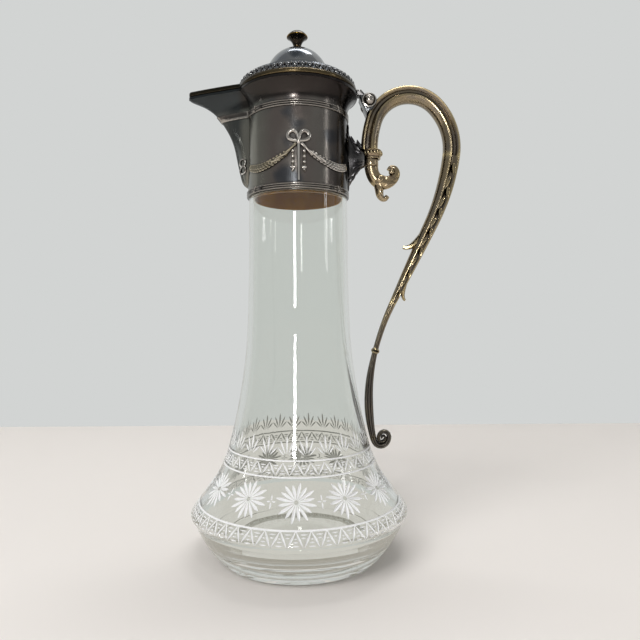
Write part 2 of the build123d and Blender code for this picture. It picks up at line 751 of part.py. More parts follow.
with BuildPart() as bracket_spur:
    with BuildSketch(Plane.XZ):
        with BuildLine():
            above = SagittaArc((collar_r, knop_top + spur_rise), (disc_x, knop_top), -spur_hollow)
            end_face = Line(above @ 1, (disc_x, disc_low))
            below = SagittaArc(end_face @ 1, (collar_r, disc_low - spur_fall), -spur_hollow)
            Line(below @ 1, above @ 0)
        make_face()
    extrude(amount=spur_w / 2, both=True)
    with Locations((0, 0, collar_z)):
        Cylinder(relief_r, collar_h, align=STANDING, mode=Mode.SUBTRACT)
    with Locations((knop_x, 0, knop_low + knop_h)):
        Cylinder(knop_r, 2 * knop_h, mode=Mode.SUBTRACT)
    with Locations((disc_x, 0, disc_low)):
        Cylinder(disc_r, 2 * disc_h, mode=Mode.SUBTRACT)
    add(handle_loop.part, mode=Mode.SUBTRACT)
bracket_spur.part.label = "bracket_spur"
export_step(bracket_spur.part, "parts/bracket_spur.step")


# ---------------------------------------------------------------- hinge
arm_top = mouth_z - rim_h / 2
with BuildPart() as hinge_saddle:
    with BuildSketch(Plane.XZ):
        with Locations((pin_x, pin_z)):
            Circle(cheek_r)
        with BuildLine():
            Polyline(
                (mouth_r - cheek_r, arm_top),
                (pin_x, arm_top),
                (pin_x + cheek_r, pin_z),
                (pin_x + cheek_r / 2, pin_z - saddle_drop),
                (leg_x - loop_w / 2, pin_z - saddle_drop - cheek_r),
                (mouth_r, pin_z - cheek_r / 2),
                close=True,
            )
        make_face()
    extrude(amount=cheek_out, both=True)
    add(knuckle_space, mode=Mode.SUBTRACT)
    with Locations((pin_x - knuckle_space_r, 0, pin_z)):
        Box(
            2 * knuckle_space_r + cheek_r,
            knuckle_space_w,
            2 * cheek_r,
            align=(Align.MIN, Align.CENTER, Align.MIN),
            mode=Mode.SUBTRACT,
        )
    add(pin_bore, mode=Mode.SUBTRACT)
    add(spout_cutter, mode=Mode.SUBTRACT)
    add(mouth_rim.part, mode=Mode.SUBTRACT)
    add(handle_loop.part, mode=Mode.SUBTRACT)
hinge_saddle.part.label = "hinge_saddle"
export_step(hinge_saddle.part, "parts/hinge_saddle.step")

with BuildPart() as hinge_pin:
    add(pin_cylinder(pin_r, 2 * cheek_out))
hinge_pin.part.label = "hinge_pin"
export_step(hinge_pin.part, "parts/hinge_pin.step")

for ball_name, ball_side in (("front", -1), ("back", 1)):
    with BuildPart() as hinge_ball:
        with Locations((pin_x, ball_side * cheek_out, pin_z)):
            Sphere(ball_r)
        ball_keep = Keep.TOP if ball_side == -1 else Keep.BOTTOM
        split(bisect_by=Plane.XZ.offset(-ball_side * cheek_out), keep=ball_keep)
    hinge_ball.part.label = f"hinge_ball_{ball_name}"
    export_step(hinge_ball.part, f"parts/hinge_ball_{ball_name}.step")


# ---------------------------------------------------------------- lid
with BuildPart() as lid_plate:
    with BuildSketch(Plane.XY.offset(lid_z)):
        add(mouth_plan(lid_over))
        Circle(lid_open_r, mode=Mode.SUBTRACT)
    extrude(amount=lid_plate_t)
lid_plate.part.label = "lid_plate"
export_step(lid_plate.part, "parts/lid_plate.step")

bead_out_r = mouth_r + lid_over - bead_edge
bead_top_r = bead_out_r - bead_in
bead_top = lid_top + bead_h
with BuildPart() as lid_hinge_lug:
    with BuildSketch(Plane.XZ):
        with Locations((pin_x, pin_z)):
            Circle(lid_knuckle_r)
        with BuildLine():
            Polyline(
                (bead_out_r + lug_gap, lid_z),
                (pin_x - lid_knuckle_r, lid_z),
                (pin_x - lid_knuckle_r, pin_z),
                (pin_x, pin_z),
                (pin_x, pin_z + lid_knuckle_r),
                (pin_x - lug_bend, lid_top - lug_bend),
                (pin_x - lug_bend - lug_crest, lid_top + lug_rise),
                (bead_out_r + lug_gap, lid_top + lug_rise),
                close=True,
            )
        make_face()
    extrude(amount=lid_knuckle_w / 2, both=True)
    add(pin_bore, mode=Mode.SUBTRACT)
    add(lid_plate.part, mode=Mode.SUBTRACT)
lid_hinge_lug.part.label = "lid_hinge_lug"
export_step(lid_hinge_lug.part, "parts/lid_hinge_lug.step")

with BuildPart() as lid_bead_band:
    with BuildSketch(Plane.XZ):
        with BuildLine():
            Polyline(
                (bead_out_r, lid_top),
                (bead_top_r, bead_top),
                (bead_top_r - bead_w, bead_top),
                (bead_top_r - bead_w, lid_top),
                close=True,
            )
        make_face()
    revolve(axis=Axis.Z)
lid_bead_band.part.label = "lid_bead_band"
export_step(lid_bead_band.part, "parts/lid_bead_band.step")

dome_z = bead_top + cushion_rise - dome_low  # the sphere's centre
dome_low_r = sqrt(dome_r**2 - dome_low**2)
with BuildPart() as lid_cushion:
    with BuildSketch(Plane.XZ):
        with BuildLine():
            cushion_top = (dome_low_r - dome_wall, bead_top + cushion_rise)
            rise = SagittaArc((bead_top_r - bead_w, bead_top), cushion_top, -cushion_bow)
            inner_side = Line(rise @ 1, rise @ 1 - (0, cushion_t))
            fall = SagittaArc(inner_side @ 1, rise @ 0 - (0, cushion_t), cushion_bow)
            Line(fall @ 1, rise @ 0)
        make_face()
    revolve(axis=Axis.Z)
lid_cushion.part.label = "lid_cushion"
export_step(lid_cushion.part, "parts/lid_cushion.step")

with BuildPart() as lid_dome:
    with BuildSketch(Plane.XZ):
        with Locations((0, dome_z)):
            Circle(dome_r)
            Circle(dome_r - dome_wall, mode=Mode.SUBTRACT)
        with Locations((dome_r, dome_z + dome_low + dome_r)):
            Rectangle(2 * dome_r, 2 * dome_r, mode=Mode.INTERSECT)
    revolve(axis=Axis.Z)
    with Locations((0, 0, dome_z + dome_r)):
        Hole(screw_r + screw_clear, depth=2 * dome_wall)
lid_dome.part.label = "lid_dome"
export_step(lid_dome.part, "parts/lid_dome.step")

with BuildPart() as lid_bezel:
    with BuildSketch(Plane.XZ):
        with Locations((dome_low_r + bezel_w / 2, bead_top + cushion_rise + bezel_h / 2)):
            Rectangle(bezel_w, bezel_h)
    revolve(axis=Axis.Z)
    with Locations((0, 0, dome_z)):
        Sphere(dome_r, mode=Mode.SUBTRACT)
lid_bezel.part.label = "lid_bezel"
export_step(lid_bezel.part, "parts/lid_bezel.step")

# the stem's foot is cut to sit on the dome
stem_low = dome_z + dome_r
stem_top = stem_low + stem_h
with BuildPart() as finial_stem:
    with BuildSketch(Plane.XZ):
        with BuildLine():
            foot_line = Line((0, stem_low - stem_foot_dip), (stem_foot_r, stem_low - stem_foot_dip))
            waist = SagittaArc(foot_line @ 1, (stem_r, stem_low + stem_h / 2), stem_bow)
            cup = SagittaArc(waist @ 1, (knob_r, stem_top + knob_cup_h), knob_cup_bow)
            cup_top = Line(cup @ 1, (0, stem_top + knob_cup_h))
            Line(cup_top @ 1, foot_line @ 0)
        make_face()
    revolve(axis=Axis.Z)
    with Locations((0, 0, dome_z)):
        Sphere(dome_r, mode=Mode.SUBTRACT)
    with Locations((0, 0, stem_low)):
        Cylinder(screw_r, 2 * screw_len)
    with Locations((0, 0, stem_low - screw_len - stem_h)):
        Cylinder(2 * screw_r, 2 * stem_h, mode=Mode.SUBTRACT)
finial_stem.part.label = "finial_stem"
export_step(finial_stem.part, "parts/finial_stem.step")

cap_low = stem_top + knob_cup_h
cap_sphere_r = (knob_r**2 + knob_cap_h**2) / (2 * knob_cap_h)
with BuildPart() as finial_cap:
    with Locations((0, 0, cap_low + knob_cap_h - cap_sphere_r)):
        Sphere(cap_sphere_r)
    split(bisect_by=Plane.XY.offset(cap_low), keep=Keep.TOP)
finial_cap.part.label = "finial_cap"
export_step(finial_cap.part, "parts/finial_cap.step")

with BuildPart() as finial_washer:
    washer_top = dome_z + sqrt((dome_r - dome_wall) ** 2 - washer_r**2)
    with BuildSketch(Plane.XY.offset(washer_top)):
        Circle(washer_r)
        Circle(screw_r + screw_clear, mode=Mode.SUBTRACT)
    extrude(amount=-washer_t)
finial_washer.part.label = "finial_washer"
export_step(finial_washer.part, "parts/finial_washer.step")

with BuildPart() as finial_nut:
    with BuildSketch(Plane.XY.offset(washer_top - washer_t)):
        RegularPolygon(nut_r, 6)
        Circle(screw_r, mode=Mode.SUBTRACT)
    extrude(amount=-nut_t)
finial_nut.part.label = "finial_nut"
export_step(finial_nut.part, "parts/finial_nut.step")
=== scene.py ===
"""A cut-glass claret jug with tarnished plated mounts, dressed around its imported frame.

Sizes are in millimetres until a mesh is written, and +Z is up. The jug pours towards -X, its
handle stands on the +X side, and the face with the bow and the swags looks towards -Y.
"""

import logging
import math
from collections.abc import Callable, Sequence
from dataclasses import dataclass, replace
from enum import Enum

import bmesh
import bpy
from mathutils import Matrix, Vector


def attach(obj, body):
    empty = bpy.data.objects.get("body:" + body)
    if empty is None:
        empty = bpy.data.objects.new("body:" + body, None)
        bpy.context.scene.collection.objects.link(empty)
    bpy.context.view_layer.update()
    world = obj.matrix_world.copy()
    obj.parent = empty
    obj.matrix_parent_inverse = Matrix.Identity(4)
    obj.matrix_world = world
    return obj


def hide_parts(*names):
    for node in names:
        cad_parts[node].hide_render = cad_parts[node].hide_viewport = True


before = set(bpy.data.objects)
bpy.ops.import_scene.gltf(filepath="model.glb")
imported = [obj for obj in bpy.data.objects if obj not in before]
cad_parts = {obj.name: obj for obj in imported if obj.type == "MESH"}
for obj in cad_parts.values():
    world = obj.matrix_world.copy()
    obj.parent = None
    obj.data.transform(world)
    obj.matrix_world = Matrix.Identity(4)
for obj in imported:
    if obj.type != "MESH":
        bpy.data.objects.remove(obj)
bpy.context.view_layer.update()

MM = 0.001
FRONT = -90
LOG = logging.getLogger("claret_jug")


# --------------------------------------------------------------------------- shared helpers


def to_linear(colour: str) -> tuple[float, float, float, float]:
    """Turn an sRGB hex colour into the linear colour that a shader takes.

    Args:
        colour: Six hex digits, red first.

    Returns:
        Linear red, green, blue and a full alpha.
    """
    channels = [int(colour[i : i + 2], 16) / 255 for i in (0, 2, 4)]
    linear = [c / 12.92 if c <= 0.04045 else ((c + 0.055) / 1.055) ** 2.4 for c in channels]
    return (linear[0], linear[1], linear[2], 1.0)


def add_node(
    tree: bpy.types.NodeTree,
    kind: str,
    inputs: dict[str | int, object] | None = None,
    **settings: object,
) -> bpy.types.Node:
    """Add one shader node with its settings, its values and its links.

    Args:
        tree: The node tree that takes the node.
        kind: The node's type name.
        inputs: A value or another node's output for each named or numbered input.
        **settings: The node's own properties.

    Returns:
        The new node.
    """
    node = tree.nodes.new(kind)
    for name, value in settings.items():
        setattr(node, name, value)
    for key, value in (inputs or {}).items():
        if isinstance(value, bpy.types.NodeSocket):
            tree.links.new(value, node.inputs[key])
        else:
            node.inputs[key].default_value = value
    return node


def new_material(name: str) -> tuple[bpy.types.Material, bpy.types.NodeTree]:
    """Make an empty node material and return it with its tree.

    Args:
        name: The material's name.

    Returns:
        The material and its node tree.
    """
    material = bpy.data.materials.new(name)
    material.use_nodes = True
    material.node_tree.nodes.clear()
    return material, material.node_tree


def polar(radius: float, turn: float, height: float) -> Vector:
    """Give the point at a radius, a turn in degrees from +X and a height, all in millimetres."""
    angle = math.radians(turn)
    return Vector((radius * math.cos(angle), radius * math.sin(angle), height))


def along(stations: Sequence[tuple[float, float]], place: float) -> float:
    """Read a smooth curve through (place, value) stations, held flat past its ends.

    Args:
        stations: The places in rising order, each with its value.
        place: Where to read.

    Returns:
        The value there, on a cubic through the neighbouring stations.
    """
    if place <= stations[0][0]:
        return stations[0][1]
    if place >= stations[-1][0]:
        return stations[-1][1]
    last = len(stations) - 1
    at = next(i for i in range(last) if stations[i + 1][0] >= place)
    (x0, y0), (x1, y1) = stations[at], stations[at + 1]
    rise = (y1 - y0) / (x1 - x0)
    before = (y1 - stations[at - 1][1]) / (x1 - stations[at - 1][0]) if at else rise
    after = (stations[at + 2][1] - y0) / (stations[at + 2][0] - x0) if at + 2 <= last else rise
    span = x1 - x0
    t = (place - x0) / span
    return (
        (2 * t**3 - 3 * t**2 + 1) * y0
        + (t**3 - 2 * t**2 + t) * span * before
        + (3 * t**2 - 2 * t**3) * y1
        + (t**3 - t**2) * span * after
    )


def spaced(runs: Sequence[tuple[float, float, int]]) -> list[float]:
    """Give the values of evenly spaced runs, each a first value, a step and a count."""
    return [first + step * i for first, step, count in runs for i in range(count)]


def spin_profile(bm: bmesh.types.BMesh, outline: list[tuple[float, float]], steps: int) -> None:
    """Turn an outline of (radius, height) points once round the Z axis and close its poles.

    Args:
        bm: The mesh that takes the turned wall.
        outline: The points in order, in millimetres.
        steps: How many divisions the full turn has.
    """
    rail = [bm.verts.new((r, 0.0, z)) for r, z in outline]
    edges = [bm.edges.new(pair) for pair in zip(rail, rail[1:])]
    bmesh.ops.spin(
        bm,
        geom=rail + edges,
        cent=(0, 0, 0),
        axis=(0, 0, 1),
        angle=2 * math.pi,
        steps=steps,
        use_merge=True,
        use_duplicate=False,
    )
    bmesh.ops.remove_doubles(bm, verts=bm.verts, dist=1e-4)
    bmesh.ops.recalc_face_normals(bm, faces=bm.faces)


def place_matrix(origin: Vector, x_dir: Vector, z_dir: Vector) -> Matrix:
    """Give the matrix that sets local X and Z along two directions, with its origin at a point.

    Args:
        origin: Where the local origin goes.
        x_dir: The direction that local X turns towards.
        z_dir: The direction of local Z.

    Returns:
        The matrix.
    """
    z_axis = z_dir.normalized()
    y_axis = z_axis.cross(x_dir).normalized()
    x_axis = y_axis.cross(z_axis)
    turn = Matrix((x_axis, y_axis, z_axis)).transposed().to_4x4()
    return Matrix.Translation(origin) @ turn


def finish_piece(
    bm: bmesh.types.BMesh,
    name: str,
    material: bpy.types.Material,
    body: str,
    stands_for: tuple[str, ...] = (),
    crease: float = 32.0,
) -> bpy.types.Object:
    """Write a bmesh in millimetres to a piece in metres that rides on its body.

    Args:
        bm: The mesh, freed here.
        name: The piece's name.
        material: Its finish.
        body: The CAD body that it moves with.
        stands_for: The CAD nodes that it replaces.
        crease: Edges that turn by more degrees than this stay sharp.

    Returns:
        The piece.
    """
    mesh = bpy.data.meshes.new(name)
    bmesh.ops.scale(bm, vec=(MM, MM, MM), verts=bm.verts)
    for face in bm.faces:
        face.smooth = True
    bm.to_mesh(mesh)
    bm.free()
    mesh.set_sharp_from_angle(angle=math.radians(crease))
    mesh.materials.append(material)
    piece = bpy.data.objects.new(name, mesh)
    bpy.context.scene.collection.objects.link(piece)
    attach(piece, body)
    if stands_for:
        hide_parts(*stands_for)
    LOG.info("%s: %d faces on %s", name, len(mesh.polygons), body)
    return piece


def softened(
    node: str,
    name: str,
    material: bpy.types.Material,
    body: str,
    radius: float = 0.4,
    trim: tuple[Vector, Vector] | None = None,
    least_turn: float = 35.0,
) -> bpy.types.Object:
    """Copy a CAD node, trim it where asked and round its sharp edges.

    Args:
        node: The CAD node that the copy replaces.
        name: The piece's name.
        material: Its finish.
        body: The CAD body that it moves with.
        radius: How far the rounding reaches to each side of an edge.
        trim: A point and a direction; what lies past the point that way is cut off.
        least_turn: Edges that turn by fewer degrees are left alone.

    Returns:
        The piece.
    """
    bm = bmesh.new()
    bm.from_mesh(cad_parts[node].data)
    bmesh.ops.scale(bm, vec=(1 / MM, 1 / MM, 1 / MM), verts=bm.verts)
    bmesh.ops.remove_doubles(bm, verts=bm.verts, dist=0.002)
    bmesh.ops.dissolve_limit(bm, angle_limit=math.radians(0.5), verts=bm.verts, edges=bm.edges)
    if trim:
        everything = bm.verts[:] + bm.edges[:] + bm.faces[:]
        bmesh.ops.bisect_plane(
            bm, geom=everything, dist=0.001, plane_co=trim[0], plane_no=trim[1], clear_outer=True
        )
        bmesh.ops.holes_fill(bm, edges=[edge for edge in bm.edges if edge.is_boundary], sides=0)
    sharp = [
        edge
        for edge in bm.edges
        if edge.is_manifold and edge.calc_face_angle() > math.radians(least_turn)
    ]
    bmesh.ops.bevel(
        bm,
        geom=sharp,
        offset=radius,
        offset_type="OFFSET",
        segments=2,
        profile=0.5,
        affect="EDGES",
        clamp_overlap=True,
        material=-1,
    )
    return finish_piece(bm, name, material, body, (node,), least_turn)


@dataclass(frozen=True)
class Station:
    """One place along a swept bar: its centre, its heading and the size of its section."""

    centre: Vector
    heading: Vector
    width: float
    depth: float

    def matrix(self, across: Vector) -> Matrix:
        """Give the frame whose X lies across the path and whose Z runs along it."""
        turn = place_matrix(self.centre, across, self.heading)
        return turn @ Matrix.Diagonal((self.width, self.depth, 1.0, 1.0))


@dataclass(frozen=True)
class Bend:
    """One stretch of a route in the XZ plane: an arc's radius and left turn, or a straight."""

    size: float
    turn: float = 0.0


def walk(
    start: tuple[float, float], heading: float, bends: tuple[Bend, ...], step: float
) -> list[tuple[Vector, Vector]]:
    """Follow arcs and straights in the XZ plane.

    Args:
        start: The first point's X and Z.
        heading: The first direction, in degrees from +X towards +Z.
        bends: The stretches in order.
        step: The longest distance between two places.

    Returns:
        Each place with its direction.
    """
    at = Vector((start[0], 0, start[1]))
    angle = math.radians(heading)
    places = [(at, Vector((math.cos(angle), 0, math.sin(angle))))]
    for bend in bends:
        turn = math.radians(bend.turn)
        length = bend.size * abs(turn) if turn else bend.size
        parts = max(2, math.ceil(length / step))
        for _ in range(parts):
            chord = length / parts
            if turn:
                chord = 2 * bend.size * math.sin(abs(turn) / parts / 2)
            angle += turn / parts / 2
            at = at + chord * Vector((math.cos(angle), 0, math.sin(angle)))
            angle += turn / parts / 2
            places.append((at, Vector((math.cos(angle), 0, math.sin(angle)))))
    return places


def sweep(
    bm: bmesh.types.BMesh,
    section: list[tuple[float, float]],
    stations: list[Station],
    across: Vector = Vector((0, 1, 0)),
) -> None:
    """Draw a closed section along a path, with both ends closed.

    Args:
        bm: The mesh that takes the bar.
        section: The section's points, one wide and one deep from side to side.
        stations: The places, headings and sizes along the path.
        across: The direction that the section's depth keeps to.
    """
    frames = [
        station.matrix(across.cross(station.heading).normalized()) for station in stations
    ]
    ring = [bm.verts.new(frames[0] @ Vector((u, w, 0))) for u, w in section]
    edges = [bm.edges.new((a, b)) for a, b in zip(ring, ring[1:] + ring[:1])]
    bmesh.ops.edgeloop_fill(bm, edges=edges)
    for before, after in zip(frames, frames[1:]):
        made = bmesh.ops.extrude_edge_only(bm, edges=edges)["geom"]
        ring = [item for item in made if isinstance(item, bmesh.types.BMVert)]
        fresh = set(ring)
        edges = [
            item
            for item in made
            if isinstance(item, bmesh.types.BMEdge) and fresh.issuperset(item.verts)
        ]
        bmesh.ops.transform(bm, matrix=after @ before.inverted(), verts=ring)
    bmesh.ops.edgeloop_fill(bm, edges=edges)
    bmesh.ops.recalc_face_normals(bm, faces=bm.faces)


def round_section(points: int) -> list[tuple[float, float]]:
    """Give a round section with this many points, one millimetre wide."""
    turns = [2 * math.pi * i / points for i in range(points)]
    return [(0.5 * math.cos(turn), 0.5 * math.sin(turn)) for turn in turns]


def smooth_stations(
    marks: list[tuple[float, float, float]], depth_share: float, parts: int
) -> list[Station]:
    """Give stations on a smooth curve in the XZ plane through (x, z, width) marks.

    Args:
        marks: The curve's marks in order.
        depth_share: The section's depth as a share of its width.
        parts: How many stations there are between two marks.

    Returns:
        The stations.
    """
    count = (len(marks) - 1) * parts
    tracks = [[(float(i), mark[axis]) for i, mark in enumerate(marks)] for axis in range(3)]
    spots = [[along(track, i / parts) for track in tracks] for i in range(count + 1)]
    stations = []
    for i, (x, z, width) in enumerate(spots):
        before, after = spots[max(i - 1, 0)], spots[min(i + 1, count)]
        heading = Vector((after[0] - before[0], 0, after[1] - before[1])).normalized()
        stations.append(Station(Vector((x, 0, z)), heading, width, width * depth_share))
    return stations


def add_bead(
    bm: bmesh.types.BMesh, place: Matrix, size: tuple[float, float, float], sides: int = 8
) -> None:
    """Add a rounded bead.

    Args:
        bm: The mesh that takes the bead.
        place: The frame of its middle.
        size: Its full length, width and height.
        sides: How many sides it has round its waist.
    """
    half = Matrix.Diagonal((size[0] / 2, size[1] / 2, size[2] / 2, 1.0))
    bmesh.ops.create_uvsphere(
        bm, u_segments=sides, v_segments=sides // 2 + 1, radius=1.0, matrix=place @ half
    )


def add_leaf(
    bm: bmesh.types.BMesh,
    place: Matrix,
    length: float,
    width: float,
    thick: float,
    curl: float = 0.0,
    bend: float = 0.0,
) -> None:
    """Add a pointed leaf with a creased middle, rooted at a place and running along its X.

    Args:
        bm: The mesh that takes the leaf.
        place: Its root's frame, with Z out of the leaf's face.
        length: From root to tip.
        width: Across its widest part.
        thick: Through its middle.
        curl: How far its tip lifts, as a share of its length.
        bend: How far its tip bends sideways, as a share of its length.
    """
    made = bmesh.ops.create_uvsphere(bm, u_segments=8, v_segments=7, radius=1.0)["verts"]
    for vert in made:
        run, side, rise = vert.co.z, vert.co.x, vert.co.y
        share = (run + 1) / 2
        belly = 1.25 - 0.75 * share
        crease = 0.35 * thick * (1 - abs(side)) if rise > 0.1 else 0.0
        vert.co = Vector(
            (
                share * length,
                side * belly * width / 2 + bend * length * share**2,
                rise * thick / 2 - crease + curl * length * share**2,
            )
        )
    bmesh.ops.recalc_face_normals(bm, faces=list({f for v in made for f in v.link_faces}))
    bmesh.ops.transform(bm, matrix=place, verts=made)


def side_leaves(
    bm: bmesh.types.BMesh,
    rows: tuple[tuple[float, float, float, float, float], ...],
    width: float,
    thick: float,
    curl: float,
    bend: float,
) -> None:
    """Add a row of leaves to both faces of a casting that stands in the XZ plane.

    Args:
        bm: The casting.
        rows: Each leaf's X, Z, turn in degrees, length and distance from the XZ plane.
        width: The leaves' width.
        thick: The leaves' thickness.
        curl: How far the tips lift, as a share of the length.
        bend: How far the tips bend sideways, as a share of the length.
    """
    for side in (1, -1):
        for x, z, turn, length, lift in rows:
            run = Vector((math.cos(math.radians(turn)), 0, math.sin(math.radians(turn))))
            place = place_matrix(Vector((x, side * lift, z)), run, Vector((0, side, 0)))
            add_leaf(bm, place, length, width, thick, curl, bend * side)


def flat_place(side: float, rise: float, out: float, turn: float) -> Matrix:
    """Give a frame on a flat drawing: X points this many degrees round from the drawing's X."""
    return Matrix.Translation((side, rise, out)) @ Matrix.Rotation(math.radians(turn), 4, "Z")


def wrap_on_mount(bm: bmesh.types.BMesh, turn: float, radius: float, back: bool) -> None:
    """Lay a flat drawing, made of (sideways, up, out) points, round the mount.

    Args:
        bm: The drawing, changed in place.
        turn: Where its middle goes, in degrees from +X.
        radius: The mount's radius.
        back: Whether it is mirrored to the side away from the front.
    """
    for vert in bm.verts:
        side, rise, out = vert.co
        vert.co = polar(radius + out, turn + math.degrees(side / radius), rise)
        if back:
            vert.co.y = -vert.co.y
    if back:
        bmesh.ops.reverse_faces(bm, faces=bm.faces)


# --------------------------------------------------------------------------- finishes


@dataclass(frozen=True)
class LeadCrystal:
    """Lead crystal, blown and then cut on a wheel: clear, a touch grey, with sharp white glints."""

    name: str = "lead_crystal"
    tint: str = "F5F7F4"
    ior: float = 1.53
    roughness: float = 0.012
    inner_light: str = "A29E93"
    traced_bounces: float = 5.5
    clearness: float = 1.0
    wave_mm: float = 9.0
    wave_depth_mm: float = 0.25

    def build(self) -> bpy.types.Material:
        """Build the glass with the soft waves that blowing leaves in its wall.

        A ray that has bounced often inside the wall is ended with painted light, a pale glow that
        stands in for the light that fills it.
        """
        material, tree = new_material(self.name)
        place = add_node(tree, "ShaderNodeTexCoord")
        waves = add_node(
            tree,
            "ShaderNodeTexNoise",
            {"Vector": place.outputs["Object"], "Scale": 1 / (self.wave_mm * MM), "Detail": 1.0},
        )
        bump = add_node(
            tree,
            "ShaderNodeBump",
            {
                "Height": waves.outputs["Fac"],
                "Strength": 0.12,
                "Distance": self.wave_depth_mm * MM,
            },
        )
        glass = add_node(
            tree,
            "ShaderNodeBsdfPrincipled",
            {
                "Base Color": to_linear(self.tint),
                "Roughness": self.roughness,
                "IOR": self.ior,
                "Transmission Weight": self.clearness,
                "Normal": bump.outputs["Normal"],
            },
        )
        depth = add_node(tree, "ShaderNodeLightPath").outputs["Ray Depth"]
        deep = add_node(
            tree,
            "ShaderNodeMath",
            {0: depth, 1: self.traced_bounces},
            operation="GREATER_THAN",
        )
        rest = add_node(
            tree, "ShaderNodeEmission", {"Color": to_linear(self.inner_light), "Strength": 1.0}
        )
        surface = add_node(
            tree,
            "ShaderNodeMixShader",
            {0: deep.outputs[0], 1: glass.outputs[0], 2: rest.outputs[0]},
        )
        add_node(tree, "ShaderNodeOutputMaterial", {"Surface": surface.outputs[0]})
        return material


@dataclass(frozen=True)
class Grade:
    """A colour laid on more heavily along one axis, from nothing at start to its most at full:
    mostly films, and painted shade on the collar's +X side.
    """

    colour: str
    axis: str
    start: float
    full: float
    most: float = 0.85

    def reach(self, tree: bpy.types.NodeTree, place: bpy.types.NodeSocket) -> bpy.types.Node:
        """Give how far this graded colour covers each place.

        Args:
            tree: The material's nodes.
            place: The place on the object.

        Returns:
            The node whose first output is the cover, from 0 to most.
        """
        axes = add_node(tree, "ShaderNodeSeparateXYZ", {"Vector": place})
        return add_node(
            tree,
            "ShaderNodeMapRange",
            {
                "Value": axes.outputs[self.axis],
                "From Min": self.start * MM,
                "From Max": self.full * MM,
                "To Max": self.most,
            },
            interpolation_type="SMOOTHSTEP",
        )


